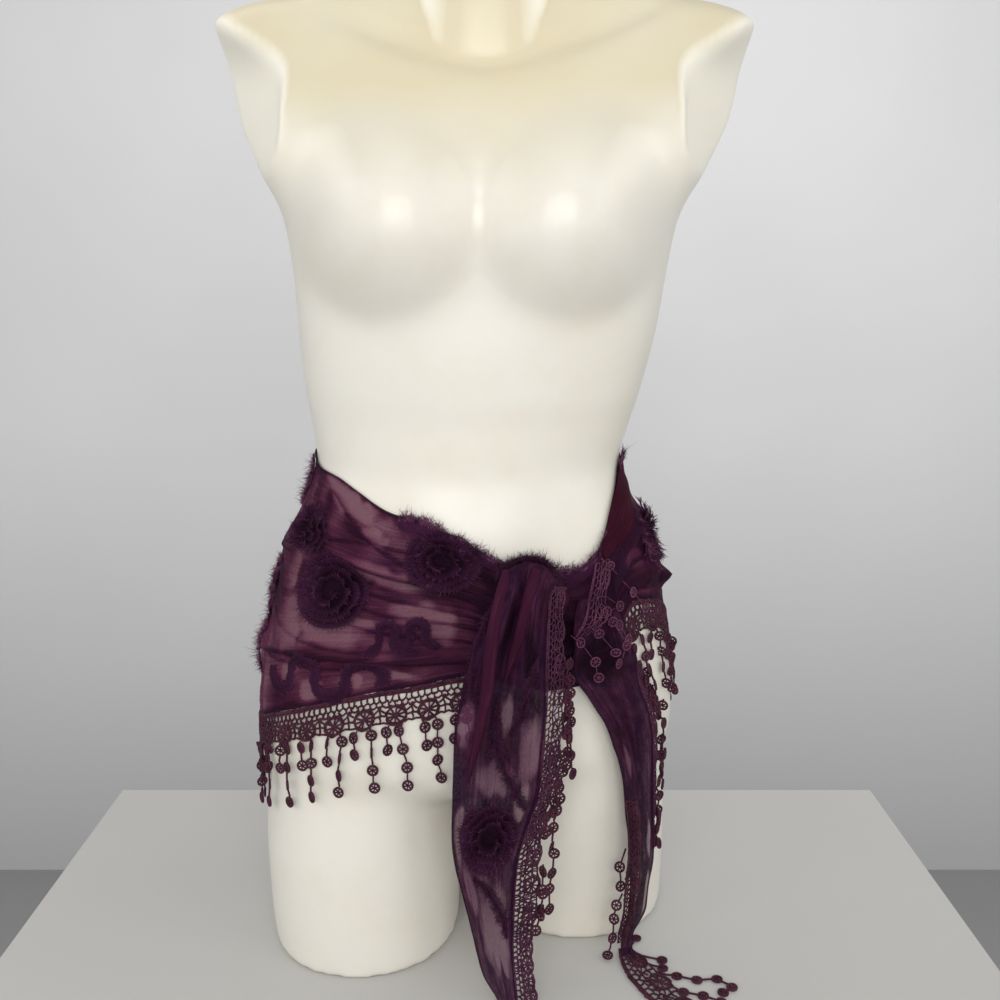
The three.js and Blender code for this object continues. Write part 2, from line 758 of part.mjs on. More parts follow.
const knot = pad({
  surface: onShawl,
  a: KNOT.turn,
  b: KNOT.z,
  across: KNOT.across,
  along: KNOT.along,
  rings: 4,
  spokes: 14,
  rise: (share) => GAP + KNOT.height * (1 - share ** 2.4) ** 0.55,
});
const besideOver = { ...over, plan: BESIDE_OVER, final: over.bands };
const passing = solid(tail({ ...over, low: -GAP, high: 4 * COVER_DEPTH }));
const passingLace = solid(beside({ ...besideOver, kind: "lace", first: 3, spare: GAP }));
add("knot", "chiffon", trimmed(knot, [...covers, passing, passingLace]));

const besideUnder = { ...under, plan: BESIDE_UNDER, first: 0, final: 8 };
const besideEnd = { ...end, plan: BESIDE_END, first: 0, final: end.bands - 1, lace: false };

add("tail_over", "chiffon", tail(over));
add("lace_over", "lace", beside({ ...besideOver, kind: "lace", first: 4 }));
add("drops_over", "lace", beside({ ...besideOver, kind: "drops", first: 8 }));
add("tail_under", "chiffon", tail(under));
add("lace_under", "lace", beside({ ...besideUnder, kind: "lace" }));
add("drops_under", "lace", beside({ ...besideUnder, kind: "drops" }));

add(
  "lace_under_front",
  "lace",
  onTail({ ...under, width: 4, first: 6, final: 13, thickness: EDGING }),
);
add("lace_end", "lace", tail(end));
add("drops_end", "lace", beside({ ...besideEnd, kind: "drops" }));

const loose = { columns: 2, rows: 4 };
add(
  "lace_loose",
  "lace",
  trimmed(
    patch({ ...loose, corners: LOOSE_LACE, start: LOOSE_LIFT, thickness: EDGING }),
    covers,
  ),
);
add(
  "drops_loose",
  "lace",
  trimmed(
    patch({ ...loose, corners: LOOSE_DROPS, start: LOOSE_LIFT, thickness: DROPS }),
    covers,
  ),
);

WRAP_ROSES.forEach(({ turn, z, radius, height }, i) => {
  add("rose_" + (i + 1), "ribbon", trimmed(rose(onShawl, turn, z, radius, height), covers));
});
const overCover = solid(tail({ ...over, high: CLOTH + GAP }));
TAIL_ROSES.forEach(({ along, share, radius, height }, i) => {
  add(
    "rose_tail_" + (i + 1),
    "ribbon",
    trimmed(rose(onOver, share - 0.5, along, radius, height), [overCover]),
  );
});
SCROLLS.forEach((row, i) => add("scroll_" + (i + 1), "ribbon", trimmed(scroll(row), covers)));

// The origin is under the middle of the whole object, on the surface that it stands on.
const box = new THREE.Box3().setFromObject(group);
const middle = box.getCenter(new THREE.Vector3());
group.position.set(-middle.x, -middle.y, -box.min.z);

export default group;
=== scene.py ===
"""A triangle shawl tied round the hips of a torso display form.

Sheer crinkled chiffon with ribbon roses and scrolls, a corded lace edging and rows of lace drops.
Tables hold millimetres in the form's own frame: its front faces -Y, and +Z is up. turn runs in
degrees from the front over the right hip (90), the back (180) and the left hip (270) to the knot.
"""

import json
import math

import bpy
import numpy as np
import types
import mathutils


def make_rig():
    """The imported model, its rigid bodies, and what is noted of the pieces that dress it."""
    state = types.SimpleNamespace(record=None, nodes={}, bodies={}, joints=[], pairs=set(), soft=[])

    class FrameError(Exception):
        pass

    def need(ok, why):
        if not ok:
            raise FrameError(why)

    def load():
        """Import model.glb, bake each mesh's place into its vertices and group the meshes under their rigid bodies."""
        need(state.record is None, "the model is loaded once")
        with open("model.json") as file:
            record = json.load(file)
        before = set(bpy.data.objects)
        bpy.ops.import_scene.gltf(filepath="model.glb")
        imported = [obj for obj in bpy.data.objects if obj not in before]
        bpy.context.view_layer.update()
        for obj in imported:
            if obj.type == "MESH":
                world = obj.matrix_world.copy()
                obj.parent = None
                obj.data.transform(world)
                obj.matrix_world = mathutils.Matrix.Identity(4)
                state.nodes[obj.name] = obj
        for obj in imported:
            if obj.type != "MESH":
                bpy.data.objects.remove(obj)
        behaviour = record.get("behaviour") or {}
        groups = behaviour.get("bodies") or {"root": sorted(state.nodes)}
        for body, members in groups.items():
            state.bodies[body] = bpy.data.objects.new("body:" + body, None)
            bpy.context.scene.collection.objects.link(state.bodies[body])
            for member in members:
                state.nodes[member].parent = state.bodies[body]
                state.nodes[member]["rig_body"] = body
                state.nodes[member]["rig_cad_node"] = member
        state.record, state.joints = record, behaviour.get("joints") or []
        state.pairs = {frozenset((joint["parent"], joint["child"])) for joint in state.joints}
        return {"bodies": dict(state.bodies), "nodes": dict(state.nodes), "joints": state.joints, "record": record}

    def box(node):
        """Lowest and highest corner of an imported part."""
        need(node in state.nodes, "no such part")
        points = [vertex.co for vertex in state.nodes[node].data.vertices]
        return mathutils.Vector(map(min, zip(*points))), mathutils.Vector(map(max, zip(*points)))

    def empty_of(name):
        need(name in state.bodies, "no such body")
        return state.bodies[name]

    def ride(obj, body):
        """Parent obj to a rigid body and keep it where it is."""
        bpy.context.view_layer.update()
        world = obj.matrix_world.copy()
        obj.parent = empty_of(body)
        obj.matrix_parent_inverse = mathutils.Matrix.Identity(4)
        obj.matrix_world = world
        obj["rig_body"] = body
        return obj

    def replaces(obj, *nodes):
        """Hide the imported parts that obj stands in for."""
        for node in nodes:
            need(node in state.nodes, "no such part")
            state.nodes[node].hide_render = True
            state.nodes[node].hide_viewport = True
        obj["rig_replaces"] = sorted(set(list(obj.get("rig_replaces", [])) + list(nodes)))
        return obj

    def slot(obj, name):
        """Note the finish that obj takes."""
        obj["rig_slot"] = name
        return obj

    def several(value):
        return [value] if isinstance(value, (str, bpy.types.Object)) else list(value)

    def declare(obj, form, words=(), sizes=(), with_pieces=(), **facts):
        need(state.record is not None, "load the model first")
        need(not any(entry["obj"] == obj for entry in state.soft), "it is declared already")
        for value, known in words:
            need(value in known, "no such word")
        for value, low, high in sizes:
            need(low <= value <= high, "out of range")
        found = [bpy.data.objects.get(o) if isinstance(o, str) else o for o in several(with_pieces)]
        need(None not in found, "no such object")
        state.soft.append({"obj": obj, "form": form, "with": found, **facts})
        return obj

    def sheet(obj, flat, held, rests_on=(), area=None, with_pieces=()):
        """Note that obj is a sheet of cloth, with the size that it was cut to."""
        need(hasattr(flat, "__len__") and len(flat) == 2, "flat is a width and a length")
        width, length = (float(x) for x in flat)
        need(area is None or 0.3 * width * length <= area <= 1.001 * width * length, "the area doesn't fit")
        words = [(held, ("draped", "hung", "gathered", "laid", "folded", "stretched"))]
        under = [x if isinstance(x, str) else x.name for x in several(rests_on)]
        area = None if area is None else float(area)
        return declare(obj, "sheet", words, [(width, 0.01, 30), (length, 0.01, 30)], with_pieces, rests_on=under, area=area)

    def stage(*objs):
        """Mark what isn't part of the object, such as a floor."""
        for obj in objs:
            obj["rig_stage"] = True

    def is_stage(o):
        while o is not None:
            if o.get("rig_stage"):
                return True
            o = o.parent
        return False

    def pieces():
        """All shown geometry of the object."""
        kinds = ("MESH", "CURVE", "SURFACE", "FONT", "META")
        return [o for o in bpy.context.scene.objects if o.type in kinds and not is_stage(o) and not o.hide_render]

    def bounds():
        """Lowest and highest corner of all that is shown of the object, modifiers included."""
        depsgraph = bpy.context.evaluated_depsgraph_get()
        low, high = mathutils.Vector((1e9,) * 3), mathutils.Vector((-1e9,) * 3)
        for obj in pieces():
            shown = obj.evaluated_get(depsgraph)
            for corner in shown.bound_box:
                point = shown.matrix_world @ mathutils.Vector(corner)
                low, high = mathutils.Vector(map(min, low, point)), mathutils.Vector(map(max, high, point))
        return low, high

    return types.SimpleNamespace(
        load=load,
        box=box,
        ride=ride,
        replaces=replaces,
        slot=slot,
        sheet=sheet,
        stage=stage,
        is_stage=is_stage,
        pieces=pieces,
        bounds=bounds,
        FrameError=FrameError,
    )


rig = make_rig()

bl_info = {
    "name": "Triangle Shawl",
    "version": (1, 0, 0),
    "blender": (4, 5, 0),
    "location": "View3D > Sidebar > Shawl",
    "description": "A lace-edged triangle shawl tied round a torso display form",
    "category": "Object",
}

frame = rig.load()
CAD_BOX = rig.bounds()


# ------------------------------------------------------------------ tables of the form and the cloth
class Rows:
    """Rows of named columns, read by a smooth curve that never overshoots between two rows."""

    def __init__(self, names, rows):
        self.columns = dict(zip(names.split(), np.array(rows, float).T))
        self.key = self.columns[names.split()[0]]

    def at(self, where, name):
        x, y = self.key, self.columns[name]
        where = np.clip(where, x[0], x[-1])
        i = np.clip(np.searchsorted(x, where, "right") - 1, 0, len(x) - 2)
        grade = np.diff(y) / np.diff(x)
        before, after = grade[:-1], grade[1:]
        rising = before * after > 0
        middle = np.where(rising, 2 * before * after / np.where(rising, before + after, 1), 0)
        slope = np.concatenate([grade[:1], middle, grade[-1:]])
        step = x[i + 1] - x[i]
        u = (where - x[i]) / step
        return (
            (2 * u**3 - 3 * u**2 + 1) * y[i]
            + (u**3 - 2 * u**2 + u) * slope[i] * step
            + (3 * u**2 - 2 * u**3) * y[i + 1]
            + (u**3 - u**2) * slope[i + 1] * step
        )

    def __iter__(self):
        names = list(self.columns)
        return (dict(zip(names, row)) for row in zip(*self.columns.values()))


TORSO = Rows("z cx cy side front back yaw square", [
    [128, 0, 14, 56, 36, 40, 9, 2.2],
    [137, 0, 13, 112, 66, 72, 9, 2.25],
    [148, 0, 12, 150, 92, 96, 9, 2.3],
    [162, 0, 12, 170, 106, 110, 9, 2.35],
    [175, 0, 12, 178, 113, 118, 9, 2.4],
    [210, 0, 12, 177, 113, 123, 9, 2.4],
    [245, 0, 12, 173, 111, 124, 8, 2.35],
    [280, 1, 11, 166, 108, 120, 7, 2.3],
    [310, 1, 10, 159, 106, 114, 6, 2.25],
    [340, 1, 9, 150, 102, 106, 5, 2.2],
    [368, 1, 8, 139, 97, 98, 4, 2.2],
    [390, 1, 7, 130, 92, 92, 3, 2.2],
    [412, 1, 6, 124, 88, 88, 2, 2.2],
    [440, 3, 6, 129, 88, 88, 1, 2.2],
    [470, 5, 6, 136, 91, 90, 0, 2.2],
    [520, 9, 6, 144, 93, 96, 0, 2.2],
    [560, 11, 6, 148, 93, 100, 0, 2.2],
    [602, 12, 6, 155, 93, 103, 0, 2.2],
    [635, 13, 6, 172, 92, 104, 0, 2.2],
    [670, 14, 7, 200, 84, 102, 0, 2.2],
    [705, 15, 9, 222, 70, 96, 0, 2.2],
    [735, 15, 11, 224, 56, 84, 0, 2.2],
    [755, 15, 12, 208, 48, 72, 0, 2.2],
    [770, 15, 12, 150, 44, 60, 0, 2.2],
    [780, 15, 12, 96, 42, 52, 0, 2.2],
])
NECK = Rows("z cx cy side depth", [
    [680, 15, -2, 62, 44],
    [730, 15, 4, 59, 54],
    [770, 15, 8, 57, 55],
    [812, 15, 12, 56, 54],
    [820, 15, 12, 53, 51],
])
THIGH_RIGHT = Rows("z cx cy side depth", [
    [0, -90, -10, 80, 92],
    [45, -91, -8, 82.5, 94],
    [95, -91, -5, 84, 95],
    [150, -89, 0, 82, 95],
    [190, -88, 3, 80, 94],
    [225, -86, 5, 74, 88],
])
THIGH_LEFT = Rows("z cx cy side depth", [
    [0, 95, 37.5, 80, 86],
    [45, 94, 34, 81, 88],
    [95, 92, 29, 82, 91],
    [150, 89, 24, 80, 95],
    [190, 88, 22, 77, 94],
    [225, 86, 21, 72, 88],
])
BUST = {"z": 594, "spread": 71, "across": 71, "down": 67, "above": 86, "height": 38, "fillet": 8}
# The flat face left where an arm would join: its distance from the middle at the back and the front.
ARM_CUT = Rows("z back front", [
    [600, 180, 172],
    [638, 196, 158],
    [662, 204, 150],
    [709, 216, 148],
    [735, 222, 178],
    [755, 227, 212],
    [775, 234, 234],
])
ARM_CUT_FROM = 606  # the arms are cut off above this height
# Where the skin is smoothed more: heights on the hips, and height and distance from the middle on
# the shoulders, each with the stretch over which it sets in.
SOFT_HIPS = {"from": 95, "to": 262, "ease": 45}
SOFT_SHOULDERS = {"above": 680, "beside": 110, "ease": 30}
# The hollow round the foot of the neck: its lowest place, its rise towards the shoulders and depth.
NECK_HOLLOW = {"z": 712, "rise": 50, "half": 137, "ledge": 7, "trench": 8}

EDGES = Rows("turn top hem", [
    [-14, 341, 244],
    [-6, 347, 250],
    [3, 363, 260],
    [15, 379, 253],
    [25, 384, 248],
    [40, 398, 237],
    [53, 407, 227],
    [68, 411, 215],
    [90, 419.5, 196],
    [120, 417, 171],
    [150, 419, 148],
    [174, 421, 133],
    [192, 421, 138],
    [212, 420, 160],
    [240, 417, 204],
    [265, 415, 252],
    [286, 412, 288],
    [294, 402, 297],
    [302, 390, 302],
    [311, 374, 305],
    [318, 358, 296],
    [324, 345, 262],
    [334, 337, 246],
    [346, 341, 244],
])
KNOT_TURN = 346
KNOT = {"turn": -14.5, "z": 326, "across": 20, "down": 24, "height": 31}
# A place on the left hip where the cloth stands off the form.
RAISED_TIP = {"turn": 281, "z": 313, "turns": 8, "reach": 13, "height": 10}
CLEAR = 1.1  # between the form and the cloth
CLOTH = 1.2  # the source's wall, in whose middle the thin cloth lies
HANG_HEIGHT = 175  # the cloth hangs straight below this height
# The lowest places above the table of cloth, lace and discs.
LOWEST_CLOTH, LOWEST_LACE, LOWEST_DISC = 0.4, 0.7, 1.6
LACE_WIDTH = 28

# Broad soft folds: their ends round the hips, their place between the top edge (0) and the hem (1)
# at both ends, their height, and their half width as a share of the cloth.
FOLDS = Rows("from to start end height width", [
    [-14, 74, 0.9, 0.66, 6.5, 0.06],
    [-14, 58, 0.42, 0.24, 5, 0.07],
    [-10, 46, 0.68, 0.5, 3.5, 0.06],
    [22, 108, 0.12, 0.4, 5, 0.06],
    [62, 150, 0.78, 0.56, 4.5, 0.06],
    [84, 176, 0.3, 0.16, 4, 0.06],
    [118, 214, 0.82, 0.72, 6, 0.05],
    [136, 238, 0.5, 0.38, 5, 0.06],
    [186, 272, 0.2, 0.34, 4, 0.06],
    [206, 300, 0.7, 0.58, 5, 0.07],
    [262, 330, 0.3, 0.5, 5, 0.08],
    [276, 318, 0.74, 0.8, 6, 0.08],
    [306, 346, 0.62, 0.3, 6, 0.09],
    [312, 346, 0.86, 0.66, 5, 0.08],
])

# Sharp creases on them: bow is how far the middle leaves the line between the ends, and width and
# height are in millimetres.
CREASES = Rows("from to start end bow height width", [
    [-12, 92, 0.93, 0.73, -0.05, 2.6, 1.8],
    [-10, 66, 0.44, 0.3, -0.04, 2.2, 1.6],
    [8, 64, 0.36, 0.02, -0.04, 2.0, 1.6],
    [-12, 40, 0.56, 0.4, 0.02, 1.4, 1.3],
    [-12, 34, 0.66, 0.52, 0.0, 1.6, 1.3],
    [-12, 60, 0.76, 0.5, 0.03, 1.5, 1.3],
    [14, 88, 0.78, 0.52, 0.05, 1.3, 1.2],
    [22, 100, 0.86, 0.62, 0.05, 1.2, 1.2],
    [30, 96, 0.2, 0.36, 0.0, 1.4, 1.4],
    [4, 44, 0.2, 0.14, 0.02, 1.6, 1.5],
    [70, 168, 0.34, 0.24, 0.05, 1.8, 1.6],
    [82, 190, 0.62, 0.72, 0.04, 1.8, 1.6],
    [110, 230, 0.46, 0.4, 0.05, 1.7, 1.5],
    [130, 250, 0.86, 0.6, 0.04, 1.9, 1.6],
    [160, 268, 0.14, 0.26, 0.03, 1.6, 1.5],
    [196, 300, 0.5, 0.62, -0.03, 1.8, 1.6],
    [226, 316, 0.3, 0.42, 0.05, 1.6, 1.5],
    [258, 340, 0.62, 0.5, 0.06, 2.0, 1.6],
    [280, 344, 0.36, 0.2, 0.04, 1.8, 1.6],
    [300, 345, 0.9, 0.5, 0.02, 2.0, 1.7],
    [318, 345, 0.4, 0.75, 0.0, 1.8, 1.6],
])

# Single layers of cloth that let the form show through, on the front of the hips: middle, half
# length, half width and lean. Elsewhere the layers vary at random.
WINDOWS = Rows("turn z along across lean", [
    [44, 391, 40, 9, -0.38],
    [26, 337.5, 28, 7, -0.3],
    [47, 300, 46, 16, -0.14],
    [63, 288, 20, 18, -0.1],
    [15, 311, 20, 8, -0.05],
    [9, 299, 11, 13, 0],
    [47, 244, 13, 8, 0.1],
    [33, 255, 8, 6, 0],
    [58, 252, 10, 9, 0],
    [20, 262, 16, 4, -0.1],
    [66, 330, 10, 14, 0],
    [30, 366, 10, 6, -0.5],
    [74, 395, 14, 8, -0.1],
])

# The hanging ends: places along their middle, their width and ridge, and how they turn and droop.
TAIL_OVER = Rows("along x y z width ridge turn droop", [
    [0, 51, -92, 338, 38, 1, 0, 9],
    [1, 49, -104, 351, 44, 1, 0, 13],
    [2, 47, -117, 353, 46, 2, 1, 14],
    [3, 44, -125.5, 340, 41, 5, 3, 6],
    [4, 37, -127, 305, 51, 11, 4, 0],
    [5, 30.5, -127, 265, 61, 9, 3, 0],
    [6, 26, -127, 222, 67, 6, 2, 0],
    [7, 24, -128, 185, 65, 4, 1, 0],
    [8, 20, -128, 152, 57, 3, 0, 0],
    [9, 15.5, -128, 118, 46, 3, -3, 0],
    [10, 17.5, -128, 86, 37, 3, -6, 0],
    [11, 20.5, -129, 52, 30, 3, -8, 0],
    [12, 27, -132, 20, 21, 2, -8, 0],
    [13, 32, -138, 4.5, 14, 1, -8, 0],
    [14, 35, -152, 1, 13, 0.4, -8, 0],
    [15, 36, -168, 0.8, 12, 0.2, -8, 0],
    [16, 41, -184, 0.8, 5, 0, -8, 0],
])
TAIL_UNDER = Rows("along x y z width ridge turn droop", [
    [-2.6, 99, -77, 316, 30, 1, 30, 0],
    [-2, 101, -79, 302, 42, 1, 30, 0],
    [-1, 106, -78, 278, 54, 1, 30, 0],
    [0, 109, -74, 258, 60, 2, 30, 0],
    [1, 117, -75, 238, 53, 5, 31, 0],
    [2, 129, -73, 213, 44, 6, 30, 0],
    [3, 134.5, -72, 188, 37, 6, 28, 0],
    [4, 139, -71, 146, 28, 5, 26, 0],
    [5, 143, -68, 103, 22, 4, 22, 0],
    [6, 143.5, -64, 70, 20, 4, 16, 0],
    [7, 142, -60, 40, 16, 3, 8, 0],
    [8, 135.5, -60, 16, 11, 2, 0, 0],
    [9, 134, -64, 4, 10, 1, 0, 0],
    [10, 134, -74, 1, 10, 0.3, 8, 0],
])
LACE_END = Rows("along x y z width ridge turn droop", [
    [0, 133.5, -64, 0.8, 12, 0, 10, 0],
    [1, 138, -81, 0.5, 22, 0, 18, 0],
    [2, 146, -100, 0.5, 28, 0, 24, 0],
    [3, 156, -119, 0.5, 30, 0, 28, 0],
    [4, 168, -138, 0.5, 24, 0, 30, 0],
    [5, 178, -154, 0.5, 10, 0, 30, 0],
])
LACE_END_RUN = [0, 18, 38.6, 60.8, 81.9, 98.6]  # millimetres along it at each of its rows
# The lace beside the hanging ends: how far it reaches across and back, and the drops beyond it.
BESIDE_OVER = Rows("along across back drops", [
    [1, 8, 4, 3],
    [3, 12, 7, 3],
    [4, 14, 11, 4],
    [5, 17, 12, 4],
    [7, 17, 12, 7],
    [8, 15, 12, 10],
    [9, 21, 10, 9],
    [10, 22, 8, 9],
    [11, 17, 6, 9],
    [12, 17, 1, 9],
    [12.5, 18, 0, 10],
    [14, 20, 0, 14],
    [16, 14, 0, 14],
])
BESIDE_UNDER = Rows("along across back drops", [
    [0, 8, 1, 9],
    [3, 9, 4, 12],
    [5, 6, 6, 8],
])

# Single layers on the hanging ends: place along and across, half length and half width.
OVER_WINDOWS = Rows("along across long wide", [
    [5.76, -0.39, 0.6, 0.11],
    [5.5, 0.06, 0.45, 0.07],
    [6.3, 0.37, 0.85, 0.18],
    [6.85, 0.0, 0.5, 0.22],
    [10.4, 0.04, 1.35, 0.36],
    [11.17, 0.29, 0.6, 0.12],
    [7.4, 0.33, 0.6, 0.1],
    [8.2, -0.4, 1.1, 0.07],
    [9.6, -0.3, 0.7, 0.1],
])
UNDER_WINDOWS = Rows("along across long wide", [
    [6.3, -0.12, 1.5, 0.13],
    [6.5, 0.3, 0.8, 0.1],
    [4.9, 0.22, 0.5, 0.08],
    [3.2, -0.3, 0.4, 0.07],
])

WRAP_ROSES = Rows("turn z radius height wide tall", [
    [8.8, 349.5, 23, 7, 1.16, 0.9],
    [43, 323, 27.5, 8, 1.22, 1.0],
    [60, 366, 19, 8, 1.35, 0.85],
    [104, 302, 26, 8, 1, 1],
    [142, 352, 23, 8, 1.1, 0.95],
    [178, 262, 26, 8, 1.1, 0.95],
    [222, 330, 24, 8, 1.1, 0.95],
    [279, 352, 22, 8, 1.1, 1.1],
])
TAIL_ROSE = {"along": 8.3, "radius": 22, "height": 7}
SCROLLS = Rows("from to z rise wave waves phase wide", [
    [10.5, 27, 296, -5, 10, 2, -90, 0.62],
    [24, 66, 257, -4, 13.5, 1.9, 15, 0.95],
    [124, 150, 226, -16, 12, 2, 0, 0.9],
    [202, 228, 236, 16, 12, 2, 0, 0.9],
])
MM_PER_DEGREE = 2.6
TURNED_EDGE = (283.5, 320.5)  # the turns between which the top edge is turned over
# The strip of lace turned up over the left hip: its corners and its discs, as turns and heights.
LOOSE_LACE = [[325, 341], [317.5, 343], [331, 290], [338.5, 288]]
LOOSE_LENGTH = 52
LOOSE_DISCS = [
    [(319.6, 338), (313.5, 314.8), (309.5, 300)],
    [(322.5, 309), (327, 305.7), (323.8, 293.3), (321.5, 280)],
    [(331.2, 289.2), (328, 273.7)],
    [(337.2, 284), (334.7, 269.1), (333.6, 254)],
    [(326.5, 298), (323.8, 277.7), (326.2, 262)],
]
LOWER_LACE_FROM = 6.2  # the over end has a second band of lace beside it from this place down
# Where the drops beside the over end start, in millimetres, and the places along it where they
# get sparse and where they end.
OVER_DROPS = {"start": 60, "sparse": 8, "end": 10.3}
LACE_PAINTED_LIGHT = (2.0, 2.3, 2.4)  # painted light: how much brighter the lace turned up over the left hip and its drops are made than the lace elsewhere

# Painted shade in the hollows between folds, under the lace by the knot and below a rose: place, half
# length, half width, slant and depth, round the hips as turns and heights, and on the hanging ends as
# places along and across them.
WRAP_HOLLOWS = Rows("a b long wide slant depth", [
    [330.5, 266, 11, 24, 0, 0.6],
    [341, 290, 5.5, 44, 0, 0.75],
    [7, 336, 12, 20, 0, 0.65],
])
OVER_HOLLOWS = Rows("a b long wide slant depth", [
    [3.95, -0.11, 0.95, 0.1, 0.02, 0.8],
    [4.7, 0.3, 1.15, 0.11, 0.1, 0.8],
])
UNDER_HOLLOWS = Rows("a b long wide slant depth", [[-0.4, -0.08, 1.25, 0.5, 0, 0.8]])
# Rolled folds that lie on the over end below the knot: places along and across, and half widths.
ROLLS = [
    [(2.2, -0.33, 3), (3.1, -0.38, 4.5), (4.05, -0.31, 4.8), (5.1, -0.22, 4.6), (5.8, -0.23, 3.8),
     (6.9, -0.33, 1)],
    [(2.4, 0.18, 3), (3.2, 0.13, 4.6), (3.96, 0.09, 4.6), (4.4, 0.05, 3.8), (4.95, 0.0, 1)],
]

# Drops on the inner side of the under end, and those that lie on the table beyond the lace end.
SIDE_DROPS = [
    [(131, -66, 96), (126, -69, 81), (127, -70, 64)],
    [(129, -68, 56), (124, -70, 46.5), (122, -72, 35), (121, -73, 18), (117, -76, 4)],
]
TABLE_DROPS = [
    [(138, -60), (144, -49)],
    [(143, -72), (162, -79)],
    [(146, -82), (161, -89.5)],
    [(155, -94), (171, -99.7), (186.5, -104.7), (203, -103.5), (213, -113.5), (204.6, -120)],
    [(163, -112), (173, -119.5), (188, -124), (201, -131)],
    [(170, -128), (184, -139), (196, -148)],
]

# Stretches of the top edge with a frayed ribbon on them, as turns.
FRAYED_EDGES = [(-13, 22), (106, 128), (138, 176), (208, 246), (268, 290), (316, 345)]
# Frayed ribbons down the sides of the hips, as turns and heights, and on the over end, as places
# along and across it.
FRAYED_STRIPS = [
    [(80, 418), (82, 404), (85, 388), (87, 376)],
    [(85, 332), (90, 318), (87, 304), (91, 290), (87, 276), (89, 262), (84, 250), (81, 240)],
    [(284, 372), (280, 356), (283, 340), (279, 326)],
    [(292, 366), (290, 350), (294, 336), (290, 322)],
]
TAIL_RIBBONS = [
    [(1.9, -0.49), (1.5, -0.35), (1.35, -0.15), (1.3, 0.05), (1.4, 0.28), (1.9, 0.47)],
    [(1.1, -0.49), (0.92, -0.35), (0.85, -0.15), (0.85, 0.05), (0.92, 0.28), (1.1, 0.47)],
    [(5.2, -0.07), (5.7, -0.05), (6.2, -0.01), (6.7, 0.1), (7.2, 0.26), (7.6, 0.4)],
    [(4.4, 0.38), (5.0, 0.28), (5.5, 0.23), (5.9, 0.12)],
    [(3.3, -0.45), (4.2, -0.47), (5.0, -0.4), (5.3, -0.3)],
    [(9.3, -0.2), (9.7, 0.05), (10.2, 0.3), (10.8, 0.4)],
]

UP = np.array([0, 0, 1.0])

# The form's reach to its right and to its back in its own frame, which place it in the part's.
FORM_REACH = (-193.93, 139.26)
form_low, form_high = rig.box("display_form")
ORIGIN = np.array([form_low.x * 1000 - FORM_REACH[0], form_high.y * 1000 - FORM_REACH[1], 0.0])


# ------------------------------------------------------------------ sizes and colours to change
def colour_property(name, description, default):
    return bpy.props.FloatVectorProperty(
        name=name, description=description, default=default, size=4, min=0, max=1, subtype="COLOR"
    )


def length_property(name, description, default):
    return bpy.props.FloatProperty(
        name=name, description=description, default=default, min=0, unit="LENGTH"
    )


def share_property(name, description, default):
    return bpy.props.FloatProperty(
        name=name, description=description, default=default, min=0, max=1, subtype="FACTOR"
    )


class FormSettings(bpy.types.PropertyGroup):
    colour: colour_property("Shell", "Ivory of the moulded shell", (0.78, 0.755, 0.68, 1))
    yellowed: colour_property("Aged shell", "The yellowed chest and shoulders", (0.7, 0.625, 0.43, 1))
    roughness: share_property("Roughness", "How soft its highlights are", 0.37)
    facet: length_property("Facet", "Size of the faces of its skin", 0.0036)


class ClothSettings(bpy.types.PropertyGroup):
    sheer: colour_property("Single layer", "Chiffon with light behind it", (0.142, 0.0275, 0.072, 1))
    hanging: colour_property(
        "Single hanging layer", "Chiffon clear of the form", (0.115, 0.033, 0.076, 1)
    )
    dense: colour_property("Folded", "Chiffon in several layers", (0.022, 0.0038, 0.0132, 1))
    violet: colour_property("Shaded", "Folded chiffon away from the light", (0.017, 0.004, 0.018, 1))
    satin: colour_property("Turned edge", "Smooth doubled chiffon", (0.031, 0.003, 0.0105, 1))
    rolled: colour_property("Rolled fold", "Rolled chiffon below the knot", (0.036, 0.0066, 0.0205, 1))
    cover: share_property("Cover", "Share of light that one layer stops", 0.71)
    crinkle: length_property("Crinkle", "Depth of the fine crinkles", 0.0007)


class LaceSettings(bpy.types.PropertyGroup):
    colour: colour_property("Thread", "Colour of the lace thread", (0.052, 0.0115, 0.027, 1))
    cord: length_property("Cord", "Thickness of the cords of the net", 0.00175)
    unit: length_property("Unit", "Distance from one wheel to the next", 0.025)
    disc: length_property("Disc", "Width of a disc", 0.0091)
    spacing: length_property("Spacing", "Distance from one disc to the next", 0.0148)


class RibbonSettings(bpy.types.PropertyGroup):
    colour: colour_property("Ribbon", "Colour of the gathered ribbon", (0.028, 0.0062, 0.023, 1))
    fray: length_property("Fray", "Length of the loose threads on its edge", 0.0042)
    width: length_property("Width", "Width of the scroll ribbon", 0.009)


class StageSettings(bpy.types.PropertyGroup):
    floor: colour_property("Floor", "Pale floor", (0.55, 0.54, 0.52, 1))
    wall: colour_property("Wall", "Pale backdrop", (0.87, 0.87, 0.87, 1))
    lens: bpy.props.FloatProperty(
        name="Lens", description="Focal length of the camera in millimetres", default=38.41, min=1
    )


# ------------------------------------------------------------------ surfaces
def unit(vectors):
    """The same ways with length 1."""
    return vectors / (np.linalg.norm(vectors, axis=-1, keepdims=True) + 1e-9)


def run_along(points):
    """Millimetres from the first of a line of points to each of them."""
    return np.concatenate([[0], np.cumsum(np.linalg.norm(np.diff(points, axis=0), axis=1))])


def fade(value, start, end):
    """0 up to the start, 1 from the end on, and even in between."""
    return np.clip((value - start) / (end - start), 0, 1)


def together(*values):
    """Numbers and arrays as arrays of one shape."""
    return np.broadcast_arrays(*(np.asarray(value, float) for value in values))


def pairs(a, b):
    """Two values at every point of a grid, such as its place on the weave in metres."""
    return np.stack(np.broadcast_arrays(a, b), -1)


def rounded(value, square):
    return np.sign(value) * np.abs(value) ** (2 / square)


